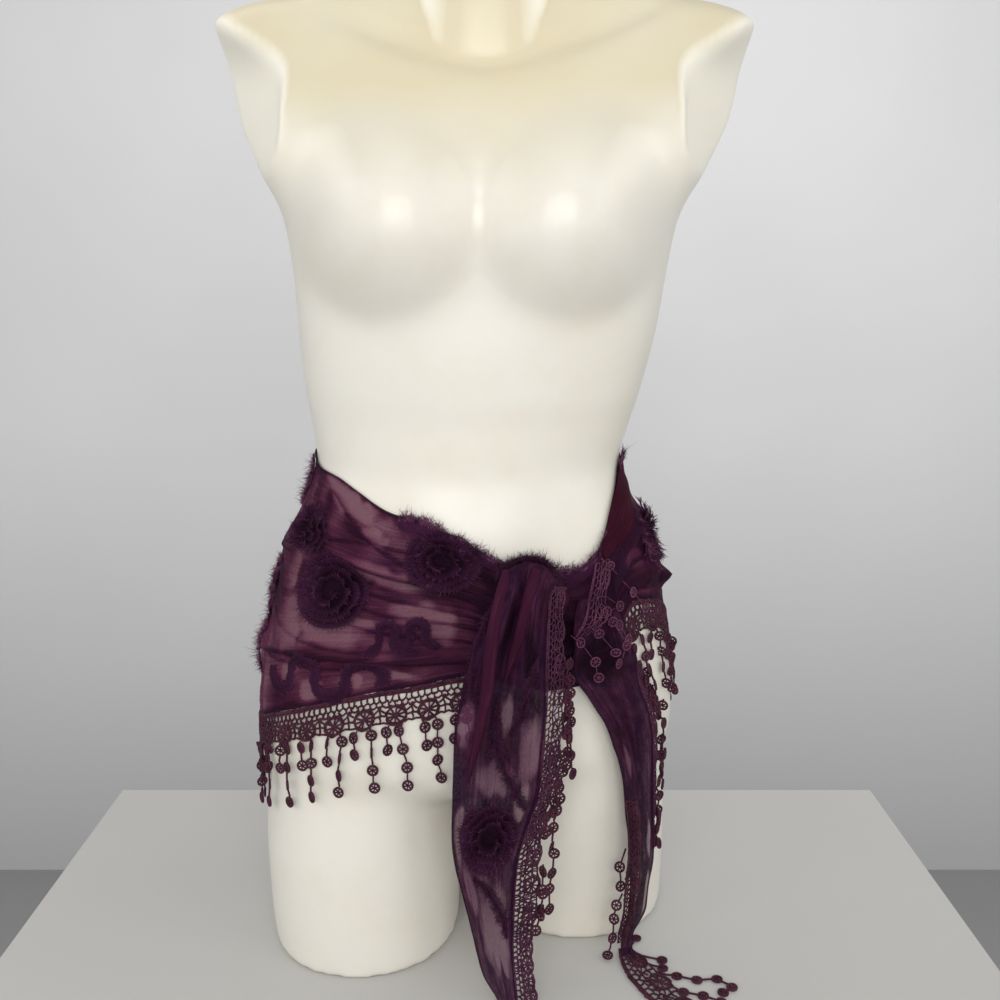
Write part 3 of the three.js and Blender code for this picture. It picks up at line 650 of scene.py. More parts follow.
def torso_point(turn, z, out=0.0):
    """Points on the torso's rings, moved out by some millimetres."""
    ring = {name: TORSO.at(z, name) for name in TORSO.columns if name != "z"}
    angle = np.radians(turn)
    depth = np.where(np.cos(angle) > 0, ring["front"], ring["back"])
    x = -ring["side"] * rounded(np.sin(angle), ring["square"])
    y = -depth * rounded(np.cos(angle), ring["square"])
    nx = np.sign(x) * np.abs(x / ring["side"]) ** (ring["square"] - 1) / ring["side"]
    ny = np.sign(y) * np.abs(y / depth) ** (ring["square"] - 1) / depth
    size = np.hypot(nx, ny)
    x, y = x + out * nx / size, y + out * ny / size
    yaw = np.radians(ring["yaw"])
    return (
        ring["cx"] + x * np.cos(yaw) - y * np.sin(yaw),
        ring["cy"] + x * np.sin(yaw) + y * np.cos(yaw),
    )


def bust_rise(x, z, middle):
    """Both busts, filleted where they leave the chest, with a longer slope above."""
    rise = np.zeros_like(x)
    for side in (-1, 1):
        across = (x - middle - side * BUST["spread"]) / BUST["across"]
        down = (z - BUST["z"]) / np.where(z > BUST["z"], BUST["above"], BUST["down"])
        dome = BUST["height"] * (1 - (across**2 + down**2) ** 0.9)
        rise += (dome + np.hypot(dome, BUST["fillet"])) / 2
    return rise


def neck_hollow(x, z, middle):
    """How far the chest draws back along the curve where the neck and the shoulders rise."""
    foot = NECK_HOLLOW["z"] + NECK_HOLLOW["rise"] * np.abs((x - middle) / NECK_HOLLOW["half"]) ** 1.6
    ledge = fade(z, foot - 14, foot + 14)
    trench = np.exp(-(((z - foot) / 11) ** 2))
    return NECK_HOLLOW["ledge"] * ledge**2 * (3 - 2 * ledge) + NECK_HOLLOW["trench"] * trench


def cloth_span(turn):
    """Height of the top edge, and how far the hem is below it."""
    top = EDGES.at(turn, "top")
    return top, top - EDGES.at(turn, "hem")


def ridge(row, turn, ease):
    """Where a fold or a crease runs between the top edge and the hem, and its height there."""
    along = fade(turn, row["from"], row["to"])
    arch = np.sin(np.pi * along).clip(0)
    place = row["start"] + (row["end"] - row["start"]) * along + row.get("bow", 0) * arch
    return place, row["height"] * arch**ease


def fold_height(turn, share):
    height = np.zeros(np.broadcast(turn, share).shape)
    for fold in FOLDS:
        place, strength = ridge(fold, turn, 0.6)
        height += strength * np.exp(-(((share - place) / fold["width"]) ** 2))
    return height


def crease_height(turn, share):
    tall = cloth_span(turn)[1]
    height = np.zeros(np.broadcast(turn, share).shape)
    for crease in CREASES:
        place, strength = ridge(crease, turn, 0.5)
        across = (share - place) * tall / crease["width"]
        height = np.maximum(height, strength * np.exp(-(across**2)))
    return height


def shawl_point(turn, z, out):
    """Points of the shawl round the hips, out from its inner face."""
    turn, z, out = together(turn, z, out)
    top, tall = cloth_span(turn)
    lift = CLEAR + fold_height(turn, (top - z) / tall) + out
    x, y = torso_point(turn, np.maximum(z, HANG_HEIGHT), lift)
    return np.stack([x, y, z], -1)


def on_shawl(turn, z, out):
    return shawl_point(turn, z, CLOTH + np.asarray(out, float))


def way_across(rows, along):
    """The level way from the left edge of a hanging end to its right edge."""
    angle = np.radians(rows.at(along, "turn"))
    return np.stack([np.cos(angle), np.sin(angle), np.zeros_like(angle)], -1)


def tail_point(rows, along, across, out):
    """Points of a hanging end: along it, across it from -0.5 to 0.5, and out from its inner face."""
    along, across, out = together(along, across, out)
    place, before, after = (
        np.stack([rows.at(along + step, name) for name in "xyz"], -1) for step in (0, -0.02, 0.02)
    )
    width = way_across(rows, along)
    normal = unit(np.cross(after - before, width))
    wave = (1 - np.cos(4 * np.pi * (across + 0.5))) / 2
    rise = rows.at(along, "ridge") * wave + out
    place[..., 2] -= rows.at(along, "droop") * (2 * across) ** 2
    return place + width * (across * rows.at(along, "width"))[..., None] + normal * rise[..., None]


def on_over_end(across, along, out):
    return tail_point(TAIL_OVER, along, across, CLOTH + np.asarray(out, float))


def beside_point(rows, plan, along, reach, out):
    """Points of what leaves the right side of a hanging end: reach is in widths of its lace."""
    along, reach, out = together(along, reach, out)
    edge = tail_point(rows, along, 0.5, 0)
    normal = tail_point(rows, along, 0.5, 1) - edge
    width = way_across(rows, along)
    lean = width * plan.at(along, "across")[..., None] - normal * plan.at(along, "back")[..., None]
    face = unit(np.cross(lean, np.cross(width, normal)))
    return edge + lean * reach[..., None] - face * out[..., None]


def lattice_noise(x, y, seed):
    """Smooth noise from -1 to 1, one step for each whole number."""
    grid = np.random.default_rng(seed).uniform(-1, 1, (256, 256))
    column, row = np.floor(x).astype(int), np.floor(y).astype(int)
    u, v = x - column, y - row
    u, v = u * u * (3 - 2 * u), v * v * (3 - 2 * v)

    def corner(a, b):
        return grid[(column + a) % 256, (row + b) % 256]

    low = corner(0, 0) * (1 - u) + corner(1, 0) * u
    high = corner(0, 1) * (1 - u) + corner(1, 1) * u
    return low * (1 - v) + high * v


def raised(points, lowest):
    """The same points, but none below a height."""
    points[..., 2] = np.maximum(points[..., 2], lowest)
    return points


def blob(x, y):
    """1 in the middle of an ellipse, falling softly to 0 at its rim."""
    return np.clip(1.35 * (1 - x**2 - y**2), 0, 1)


# ------------------------------------------------------------------ meshes
class Weave:
    """Points in millimetres, faces and point values that become one piece."""

    def __init__(self):
        self.points, self.faces, self.values, self.uvs, self.count = [], [], [], [], 0

    def add(self, points, *faces, layers=0.0, shade=0.0, uv=None):
        points = np.asarray(points, float).reshape(-1, 3)
        self.points.append(points)
        self.faces += [np.asarray(group, int) + self.count for group in faces]
        spread = [np.broadcast_to(np.ravel(value), len(points)) for value in (layers, shade)]
        self.values.append(np.stack(spread))
        if uv is not None:
            self.uvs.append(uv.reshape(-1, 2))
        self.count += len(points)

    def sheet(self, points, layers=0.0, shade=0.0, uv=None, closed=False):
        """A grid of points, with rows first. closed joins its last column to its first."""
        rows, columns = points.shape[:2]
        index = np.arange(rows * columns).reshape(rows, columns)
        if closed:
            index = np.concatenate([index, index[:, :1]], 1)
        quads = np.stack([index[:-1, :-1], index[:-1, 1:], index[1:, 1:], index[1:, :-1]], -1)
        self.add(points, quads.reshape(-1, 4), layers=layers, shade=shade, uv=uv)

    def cords(self, lines, ups, thickness, sides=4):
        """Cords along lines, an array of (line, point, xyz), with ups off their surface."""
        lines = np.asarray(lines, float)
        way = unit(np.gradient(lines, axis=1))
        side = unit(np.cross(way, np.broadcast_to(ups, lines.shape)))
        up = np.cross(side, way)
        angle = (np.arange(sides) + 0.5) / sides * 2 * np.pi
        ring = np.cos(angle)[:, None] * side[:, :, None] + np.sin(angle)[:, None] * up[:, :, None]
        points = lines[:, :, None] + thickness / 2 * ring
        index = np.arange(points.size // 3).reshape(points.shape[:3])
        after = np.roll(index, -1, 2)
        quads = np.stack([index[:, :-1], after[:, :-1], after[:, 1:], index[:, 1:]], -1)
        self.add(points, quads.reshape(-1, 4), index[:, 0, ::-1], index[:, -1])

    def piece(self, name, finish, nodes=(), slot=""):
        """The finished piece in the part's frame. It rides on the part and replaces its nodes."""
        points = (np.concatenate(self.points) + ORIGIN) / 1000
        faces = [face for group in self.faces for face in group.tolist()]
        mesh = bpy.data.meshes.new(name)
        mesh.from_pydata(points.tolist(), [], faces)
        for key, values in zip(("layers", "shade"), np.concatenate(self.values, 1)):
            spread = mesh.attributes.new(key, "FLOAT", "POINT")
            spread.data.foreach_set("value", values.astype(np.float32))
        if self.uvs:
            corners = np.empty(len(mesh.loops), np.int32)
            mesh.loops.foreach_get("vertex_index", corners)
            places = np.concatenate(self.uvs)[corners].astype(np.float32)
            mesh.uv_layers.new(name="Weave").data.foreach_set("uv", places.ravel())
        mesh.shade_smooth()
        mesh.materials.append(finish)
        made = linked(name, mesh)
        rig.ride(made, "root")
        if nodes:
            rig.replaces(made, *nodes)
        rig.slot(made, slot)
        return made


def linked(name, data):
    """A new object of the scene that shows a mesh, a lamp or a camera."""
    made = bpy.data.objects.new(name, data)
    bpy.context.scene.collection.objects.link(made)
    return made


def along_path(path, count):
    """The columns of a few places in a row, read at many even steps along a smooth curve."""
    names = "abc"[: len(path[0])]
    rows = Rows(" ".join("s" + names), np.column_stack([np.arange(len(path)), path]))
    steps = np.linspace(0, len(path) - 1, count)
    return [rows.at(steps, name) for name in names]


def line_on(surface, a, b):
    """A line on a surface, and the ways off the surface, along the line and across it."""
    middle = surface(a, b, 0.3)
    normal = surface(a, b, 1.3) - middle
    way = unit(np.gradient(middle, axis=0))
    return middle, normal, way, np.cross(way, normal)


def hollow_shade(hollows, a, b):
    """Painted shade: how much a cloth's colour is darkened in the hollows between its folds."""
    shade = np.zeros(np.broadcast(a, b).shape)
    for hollow in hollows:
        beside = b - hollow["b"] - hollow["slant"] * (a - hollow["a"])
        dark = hollow["depth"] * blob((a - hollow["a"]) / hollow["long"], beside / hollow["wide"])
        shade = np.maximum(shade, dark)
    return shade


def lofted(weave, x, y, z):
    """A tube of rings with a fan on each end, for solids that are then remeshed."""
    rings = np.stack(np.broadcast_arrays(x, y, z), -1)
    weave.sheet(rings, closed=True)
    for ring, turn in ((rings[0], -1), (rings[-1], 1)):
        count = len(ring)
        points = np.vstack([ring, ring.mean(0)])
        weave.add(points, [[count, i, (i + 1) % count][::turn] for i in range(count)])


# ------------------------------------------------------------------ finishes
class Finish:
    """One procedural material, built node by node."""

    def __init__(self, name):
        self.material = bpy.data.materials.new(name)
        self.material.use_nodes = True
        self.tree = self.material.node_tree
        self.tree.nodes.clear()

    def node(self, kind, inputs=None, **settings):
        made = self.tree.nodes.new("ShaderNode" + kind)
        for key, value in settings.items():
            setattr(made, key, value)
        for key, value in (inputs or {}).items():
            if isinstance(value, bpy.types.NodeSocket):
                self.tree.links.new(value, made.inputs[key])
            else:
                made.inputs[key].default_value = value
        return made

    def maths(self, operation, a, b, clamp=False):
        return self.node("Math", {0: a, 1: b}, operation=operation, use_clamp=clamp).outputs[0]

    def mixed(self, share, a, b):
        return self.node("Mix", {0: share, 6: a, 7: b}, data_type="RGBA").outputs[2]

    def ramp(self, value, low, high, start=0.0, end=1.0):
        inputs = {"Value": value, "From Min": low, "From Max": high, "To Min": start, "To Max": end}
        return self.node("MapRange", inputs).outputs["Result"]

    def place(self, axis=None, kind="Object"):
        """Where a point is, or which way it faces, in the part's metres, or one axis of it."""
        vector = self.node("TexCoord").outputs[kind]
        return self.node("SeparateXYZ", {"Vector": vector}).outputs[axis] if axis else vector

    def value(self, name):
        """One of the values that a Weave gives its points."""
        return self.node("Attribute", attribute_name=name).outputs["Fac"]

    def noise(self, scale, detail=4.0, roughness=0.5, vector=None):
        inputs = {"Scale": scale, "Detail": detail, "Roughness": roughness}
        vector = vector or self.place()
        return self.node("TexNoise", {**inputs, "Vector": vector}).outputs["Fac"]

    def streaks(self, scale, detail, roughness=0.5):
        """Noise laid along the weave and stretched by a different scale each way."""
        weave = self.node("UVMap", uv_map="Weave").outputs["UV"]
        vector = self.node("Mapping", {"Vector": weave, "Scale": scale}).outputs["Vector"]
        return self.noise(1.0, detail, roughness, vector)

    def bump(self, height, distance, strength=1.0, normal=None):
        inputs = {"Height": height, "Distance": distance, "Strength": strength}
        if normal is not None:
            inputs["Normal"] = normal
        return self.node("Bump", inputs).outputs["Normal"]

    def done(self, inputs, sheen=None):
        """Ends the material with one shader. sheen is the weight, roughness and tint of its nap."""
        if sheen:
            names = "Sheen Weight", "Sheen Roughness", "Sheen Tint"
            inputs = {**inputs, **dict(zip(names, sheen))}
        shader = self.node("BsdfPrincipled", inputs)
        self.node("OutputMaterial", {"Surface": shader.outputs[0]})
        return self.material


def settings(group):
    return getattr(bpy.context.scene, "shawl_" + group)


def times(colour, *lifts):
    """A colour with its red, green and blue multiplied."""
    return tuple(lift * c for lift, c in zip(lifts * (3 // len(lifts)), colour)) + (1,)


def form_finish():
    form = settings("form")
    f = Finish("moulded ivory shell")
    warm = f.ramp(f.noise(5.5, 3), 0.35, 0.7, -0.25, 0.25)
    height = f.place("Z")
    yellowed = f.maths("ADD", f.ramp(height, 0.62, 0.7), warm, clamp=True)
    base = f.mixed(yellowed, form.colour, form.yellowed)
    stain = f.ramp(f.noise(16, 6, 0.65), 0.5, 0.78, 0, 0.35)
    base = f.mixed(stain, base, (0.7, 0.63, 0.48, 1))
    # Painted light: the sideways faces of the arm cuts above about 0.6 m are made paler, as if lit from the sides.
    sideways = f.ramp(f.maths("ABSOLUTE", f.place("X", "Normal"), 0.0), 0.38, 0.66)
    painted_light_on_arm_cuts = f.maths("MULTIPLY", sideways, f.ramp(height, 0.6, 0.66))
    base = f.mixed(painted_light_on_arm_cuts, base, (0.95, 0.91, 0.78, 1))
    speck = {"Vector": f.place(), "Scale": 22.0, "Randomness": 1.0}
    near = f.ramp(f.node("TexVoronoi", speck, feature="F1").outputs["Distance"], 0.016, 0.03, 1, 0)
    chosen = f.maths("GREATER_THAN", f.noise(9, 1), 0.66)
    base = f.mixed(f.maths("MULTIPLY", near, chosen), base, (0.09, 0.075, 0.06, 1))
    soft = form.roughness - 0.05, form.roughness + 0.1
    normal = f.bump(f.noise(13, 2), 0.0012, 0.25)
    return f.done({
        "Base Color": base,
        "Roughness": f.ramp(f.noise(38, 5), 0.3, 0.75, *soft),
        "Normal": f.bump(f.noise(420, 3), 0.00008, 0.25, normal),
        "Specular IOR Level": 0.8,
        "Coat Weight": 0.12,
        "Coat Roughness": 0.16,
        "Subsurface Weight": 0.08,
        "Subsurface Scale": 0.004,
    })


def chiffon_finish(name, sheer=True, folded=None, hanging=False):
    """Crinkled chiffon. The layers value on its points makes it denser where it is folded."""
    cloth = settings("cloth")
    f = Finish(name)
    streak = f.streaks((18, 420, 1), 3, 0.6)
    broad = f.streaks((22, 48, 1), 3, 0.55)
    thread = f.streaks((420, 2600, 1), 1)
    dense = f.maths("ADD", f.value("layers"), f.ramp(streak, 0.36, 0.68, -0.12, 0.2))
    dense = f.maths("ADD", dense, f.ramp(broad, 0.3, 0.7, -0.2, 0.2), clamp=True)
    low, high = (0.3, 0.52) if hanging else (0.4, 0.62)
    folded = folded or f.mixed(f.ramp(f.noise(24, 3), low, high), cloth.dense, cloth.violet)
    colour = f.mixed(dense, cloth.hanging if hanging else cloth.sheer, folded)
    # Painted glint: the peaks of the crinkle streaks get a paler colour that stands in for their highlight.
    colour = f.mixed(f.ramp(streak, 0.55, 0.8, 0, 0.15), colour, (0.12, 0.032, 0.072, 1))
    crinkle = f.bump(streak, cloth.crinkle, 0.75)
    crinkle = f.bump(broad, cloth.crinkle * 2.5, 0.5, crinkle)
    inputs = {
        # Painted shade: the shade value darkens the colour towards near-black in the hollows between folds and under
        # the lace.
        "Base Color": f.mixed(f.value("shade"), colour, (0.005, 0.0015, 0.004, 1)),
        "Roughness": 0.62,
        "Normal": f.bump(thread, 0.0001, 0.5, crinkle),
        "Specular IOR Level": 0.04,
    }
    if sheer:
        stopped = f.ramp(dense, 0, 0.8, cloth.cover, 0.975)
        gap = f.ramp(thread, 0.3, 0.7, -0.07, 0.07)
        inputs["Alpha"] = f.maths("ADD", stopped, gap, clamp=True)
    return f.done(inputs, (0.02, 0.4, (0.8, 0.25, 0.5, 1)))


def lace_finish(name="twisted lace thread", bright=(1, 1, 1)):
    """Twisted thread. bright lifts its red, green and blue as painted light, for the lace beside the hanging ends and
    the turned-up lace and its drops.
    """
    f = Finish(name)
    twist = f.noise(900, 2)
    thread = times(settings("lace").colour, *bright)
    # Painted highlight: where the twist noise is high, the strands get a paler colour.
    colour = f.mixed(f.ramp(twist, 0.35, 0.7), thread, times((0.1, 0.032, 0.055), *bright))
    patch = f.ramp(f.noise(60, 3), 0.35, 0.7, 0, 0.6)
    return f.done({
        "Base Color": f.mixed(patch, colour, times((0.024, 0.006, 0.0145), *bright)),
        "Roughness": 0.66,
        "Normal": f.bump(twist, 0.0005, 0.9),
        "Specular IOR Level": 0.12,
    }, (0.04, 0.45, (0.8, 0.35, 0.5, 1)))


def ribbon_finish(name="frayed organza ribbon", bright=1.0):
    f = Finish(name)
    thread = f.streaks((1500, 90, 1), 2, 0.6)
    own = times(settings("ribbon").colour, bright)
    colour = f.mixed(f.ramp(thread, 0.5, 0.85), own, (0.05, 0.012, 0.04, 1))
    patch = f.ramp(f.noise(50, 3), 0.35, 0.68, 0, 0.65)
    colour = f.mixed(patch, colour, (0.012, 0.0035, 0.009, 1))
    layers = f.value("layers")
    colour = f.mixed(f.ramp(layers, 0.25, 0.8, 0.4, 0), colour, (0.06, 0.017, 0.05, 1))
    stopped = f.ramp(layers, 0, 1, 0.84, 0.985)
    return f.done({
        # Painted shade: the shade value darkens the ribbon towards near-black in the heart of the roses and between
        # their petals.
        "Base Color": f.mixed(f.value("shade"), colour, (0.0035, 0.001, 0.003, 1)),
        "Roughness": 0.7,
        "Normal": f.bump(thread, 0.0003, 0.8),
        "Specular IOR Level": 0.04,
        "Alpha": f.maths("ADD", stopped, f.ramp(thread, 0.3, 0.7, -0.12, 0.12), clamp=True),
    }, (0.03, 0.5, (0.7, 0.3, 0.55, 1)))


# Threads vary at random between the ribbon's colour and pale, a lighter tone that is painted light on threads against
# the light. The copy with light behind it raises pale and the copy in shade lowers it, as painted light and painted
# shade.
def fray_finish(name="loose ribbon thread", pale=(0.085, 0.022, 0.062, 1)):
    f = Finish(name)
    tone = f.ramp(f.noise(150, 2), 0.35, 0.65)
    colour = f.mixed(tone, settings("ribbon").colour, pale)
    return f.done({"Base Color": colour, "Roughness": 0.8, "Specular IOR Level": 0.15})


# ------------------------------------------------------------------ the form
def make_form():
    weave = Weave()
    turn = np.arange(0, 360, 2.0)
    z = np.linspace(TORSO.key[0], TORSO.key[-1], 170)[:, None]
    cx, cy = TORSO.at(z, "cx"), TORSO.at(z, "cy")
    x, y = torso_point(turn, z)
    back = fade(y, cy - 50, cy + 50)
    cut = ARM_CUT.at(z, "front") * (1 - back) + ARM_CUT.at(z, "back") * back
    rise = np.where(y < cy, bust_rise(x, z, cx) - neck_hollow(x, z, cx), 0)
    x = np.where(z > ARM_CUT_FROM, cx + np.clip(x - cx, -cut, cut), x)
    lofted(weave, x, y - rise, z)
    angle = np.radians(np.arange(0, 360, 4.0))
    for rows in (NECK, THIGH_RIGHT, THIGH_LEFT):
        z = np.linspace(rows.key[0], rows.key[-1], 60)[:, None]
        x = rows.at(z, "cx") + rows.at(z, "side") * rounded(np.cos(angle), 2.15)
        y = rows.at(z, "cy") + rows.at(z, "depth") * rounded(np.sin(angle), 2.15)
        lofted(weave, x, y, z)
    made = weave.piece("form_shell", form_finish(), ["display_form"], "form_shell")
    skin = made.modifiers.new("skin", "REMESH")
    skin.mode = "VOXEL"
    skin.voxel_size = settings("form").facet
    skin.use_smooth_shade = True
    applied(made)
    places = np.empty(len(made.data.vertices) * 3)
    made.data.vertices.foreach_get("co", places)
    x, _, z = places.reshape(-1, 3).T * 1000
    soft, ease = SOFT_HIPS, SOFT_HIPS["ease"]
    hips = np.clip((z - soft["from"]) / ease, 0, 1) * np.clip((soft["to"] - z) / ease, 0, 1)
    soft, ease = SOFT_SHOULDERS, SOFT_SHOULDERS["ease"]
    beside = np.abs(x - TORSO.columns["cx"][-1]) - soft["beside"]
    shoulders = np.clip((z - soft["above"]) / ease, 0, 1) * np.clip(beside / ease, 0, 1)
    for name, steps, shares in (("all", 10, []), ("hips", 90, hips), ("shoulders", 80, shoulders)):
        soft = made.modifiers.new(name, "SMOOTH")
        soft.factor = 0.5
        soft.iterations = steps
        if len(shares):
            group = made.vertex_groups.new(name=name)
            soft.vertex_group = name
            for index in np.flatnonzero(shares):
                group.add([int(index)], float(shares[index]), "REPLACE")
    applied(made)


def applied(made):
    """Turns a piece's modifiers into its mesh, and keeps its finish."""
    depsgraph = bpy.context.evaluated_depsgraph_get()
    mesh = bpy.data.meshes.new_from_object(made.evaluated_get(depsgraph))
    finish = made.data.materials[0]
    made.modifiers.clear()
    made.data = mesh
    mesh.materials.clear()
    mesh.materials.append(finish)
    mesh.shade_smooth()


# ------------------------------------------------------------------ the shawl
def window_layers(turn, z, share):
    """How dense the cloth is: near 0 in a single layer, 1 where it is folded or sewn."""
    drift = 0.05 * lattice_noise(turn / 9, share * 9, 3)
    patchy = 0.5 + 0.9 * lattice_noise(turn / 17 + drift, share * 5 + turn / 60, 5)
    patchy = np.clip(patchy + 0.35 * lattice_noise(turn / 7, share * 11, 6), 0, 1)
    patchy = np.clip(patchy + 0.55 * blob((turn - 294) / 36, (share - 0.4) / 0.8), 0, 1)
    wobble = 0.25 * lattice_noise(turn / 3.1, z / 7, 8)
    opened = np.zeros_like(share)
    for window in WINDOWS:
        s = (window["turn"] - turn) * MM_PER_DEGREE * 0.92
        t = z - window["z"] - window["lean"] * s
        hole = blob(s / window["along"] / 1.16 + wobble, t / window["across"] / 1.25 + wobble)
        opened = np.maximum(opened, hole)
    folded = 0.68 + 0.3 * lattice_noise(turn / 6 + 50, share * 8 + turn / 25, 9)
    front = fade(turn, 78, 64)
    layers = patchy * (1 - front) + np.clip(folded - 0.85 * opened, 0, 1) * front
    near_knot = fade(turn, 316, 330) + fade(turn, 2, -7)
    tall = cloth_span(turn)[1]
    edges = np.exp(-(((1 - share) * tall / 2.6) ** 2)) + np.exp(-((share * tall / 2.2) ** 2))
    crease = 0.9 * crease_height(turn, share) / 2.2
    return np.clip(layers + near_knot + edges + crease, 0, 1)


def make_wrap():
    weave = Weave()
    turn = np.linspace(KNOT_TURN - 360 + 0.05, KNOT_TURN - 0.05, 640)[None, :]
    share = np.linspace(0, 1, 116)[:, None]
    top, tall = cloth_span(turn)
    z = top - tall * share
    fine = 0.55 * lattice_noise(turn / 7 + 20, share * tall / 4.2, 11)
    fine += 0.3 * lattice_noise(turn / 3 + 5, share * tall / 2.3, 12)
    ease = fade(share * tall, 0, 5) * fade((1 - share) * tall, 0, 5)
    tip = fade(np.abs(turn - RAISED_TIP["turn"]), RAISED_TIP["turns"], 0)
    tip = tip * fade(np.abs(z - RAISED_TIP["z"]), RAISED_TIP["reach"], 0)
    out = 0.9 + (crease_height(turn, share) + fine) * ease + RAISED_TIP["height"] * tip
    # The second value is painted shade in the hollows between folds, under the lace and below a rose.
    layers, painted_shade = window_layers(turn, z, share), hollow_shade(WRAP_HOLLOWS, turn, z)
    uv = pairs(turn * MM_PER_DEGREE / 1000, share * 0.17)
    weave.sheet(shawl_point(turn, z, out), layers, painted_shade, uv)
    nodes = ["shawl_right_hip", "shawl_back", "shawl_left_hip"]
    weave.piece("shawl_wrap", chiffon_finish("sheer chiffon"), nodes, "sheer_cloth")


def make_turned_edge():
    """The top edge turned over on the left hip: a smooth doubled band with a rolled rim."""
    weave = Weave()
    turn = np.linspace(*TURNED_EDGE, 90)[None, :]
    v = np.linspace(0, 1, 22)[:, None]
    along = fade(turn, *TURNED_EDGE)
    top, tall = cloth_span(turn)
    wide = 0.34 * (0.45 + 0.55 * np.sin(np.pi * along) ** 0.7)
    z = top - tall * wide * v + 1.2 * np.exp(-v * 8)
    out = 1.4 + 1.2 * np.sin(np.pi * v) ** 0.5 + 0.35 * np.sin(9 * v + along * 7)
    weave.sheet(on_shawl(turn, z, out), 1.0, uv=pairs(turn * MM_PER_DEGREE / 1000, 0.03 * v))
    finish = chiffon_finish("doubled chiffon", False, settings("cloth").satin)
    weave.piece("shawl_turned_edge", finish, ["turned_edge"], "sheer_cloth")


def make_knot():
    """The bunched cloth under the end that passes over it."""
    weave = Weave()
    angle = np.linspace(0, 2 * np.pi, 121)[None, :]
    share = np.linspace(0.02, 1, 40)[:, None]
    turn = KNOT["turn"] + KNOT["across"] * share * np.cos(angle) / MM_PER_DEGREE
    z = KNOT["z"] + KNOT["down"] * share * np.sin(angle)
    pleat = np.sin(9 * angle + 4 * share) * 0.5 + np.sin(5 * angle - 3 * share) * 0.5
    height = KNOT["height"] * (1 - share**2.4) ** 0.55 * (1 + 0.07 * pleat)
    points = on_shawl(turn, z, np.maximum(0.4 + height + 1.2 * pleat * share, 0.2))
    weave.sheet(points, 1.0, uv=pairs(0.02 * angle, 0.05 * share))
    weave.piece("shawl_knot", chiffon_finish("knotted chiffon", False), ["knot"], "sheer_cloth")


def tail_layers(windows, along, across, seed):
    opened = np.zeros(np.broadcast(along, across).shape)
    wobble = 0.3 * lattice_noise(along * 2.3, across * 9 + 30, seed)
    for window in windows:
        u = (along - window["along"]) / window["long"]
        v = (across - window["across"]) / window["wide"]
        opened = np.maximum(opened, blob(u + wobble, v + wobble))
    edge = np.exp(-(((0.5 - np.abs(across)) / 0.025) ** 2))
    rough = 0.12 * lattice_noise(along * 5, across * 16 + 60, seed + 1)
    base = 0.86 - 0.16 * fade(along, 8.5, 10.5)
    return np.clip(base - 0.84 * opened + edge + rough, 0, 1)


def make_tail(name, rows, windows, hollows, node, seed):
    weave = Weave()
    last = rows.key[-1]
    along = np.linspace(rows.key[0], last, 330)[:, None]
    across = np.linspace(-0.5, 0.5, 90)[None, :]
    gather = np.exp(-along.clip(0) / 5.0) * np.clip((along - 0.8) / 2.5, 0.12, 1)
    pleats = 1.3 * np.sin(2 * np.pi * (3.1 * across + 0.09 * along + 0.2))
    pleats = pleats + 1.1 * lattice_noise(along * 1.2, across * 8 + 20, seed + 2)
    fine = 1.1 * lattice_noise(along * 2.6, across * 13 + 40, seed)
    pleats = pleats * (0.3 + 0.7 * gather) + fine
    flat = fade(along, last, last - 4)
    points = tail_point(rows, along, across, 0.6 + np.maximum(pleats, -0.5) * flat)
    sway = 1.6 * lattice_noise(along * 1.1 + 9, 3 + np.sign(across), seed + 4)
    points[..., 0] += sway * np.abs(across) * 2 * flat
    points = raised(points, LOWEST_CLOTH)
    layers = tail_layers(windows, along, across, seed)
    uv = pairs(along * 0.025, 0.08 * across)
    # The shade value is painted shade in the hollows between the folds of the end.
    weave.sheet(points, layers, hollow_shade(hollows, along, across), uv)
    finish = chiffon_finish("sheer chiffon of " + name, hanging=True)
    weave.piece(name, finish, [node], "sheer_cloth")


def make_rolls():
    weave = Weave()
    rows, columns = 90, 20
    angle = np.linspace(-0.15, np.pi + 0.15, columns)[None, :]
    for number, path in enumerate(ROLLS):
        along, across, half = along_path(path, rows)
        middle, normal, _, side = line_on(on_over_end, across, along)
        step = np.linspace(0, len(path) - 1, rows)[:, None]
        lift = 0.75 * np.sin(angle) * (1 + 0.09 * np.sin(5 * angle + step + number))
        ring = side[:, None] * np.cos(angle)[..., None] + normal[:, None] * lift[..., None]
        row = np.arange(rows)[:, None] + number * rows
        uv = pairs(row * 0.0016, np.arange(columns) * 0.0012)
        weave.sheet(middle[:, None] + ring * half[:, None, None], 1.0, uv=uv)
    finish = chiffon_finish("rolled chiffon", False, settings("cloth").rolled)
    weave.piece("tail_over_rolls", finish, (), "sheer_cloth")


# ------------------------------------------------------------------ lace
def arc(x0, x1, y, sag, count=6):
    u = np.linspace(0, 1, count)
    return np.stack([x0 + (x1 - x0) * u, y + sag * np.sin(np.pi * u)], -1)


def circle(count):
    angle = np.linspace(0, 2 * np.pi, count)
    return np.stack([np.cos(angle), np.sin(angle)], -1)


# Cords of a unit of the edging beside its wheel, across from its middle and down it.
SIDE_CORDS = [
    [[0.5, 11.2], [0.46, 14], [0.33, 16.6]],
    [[0.24, 12.4], [0.2, 13.2], [0.15, 13.8]],
    [[0.5, 19.0], [0.41, 19.4], [0.33, 20]],
    [[0.5, 24.6], [0.38, 24.2], [0.24, 25.2]],
]


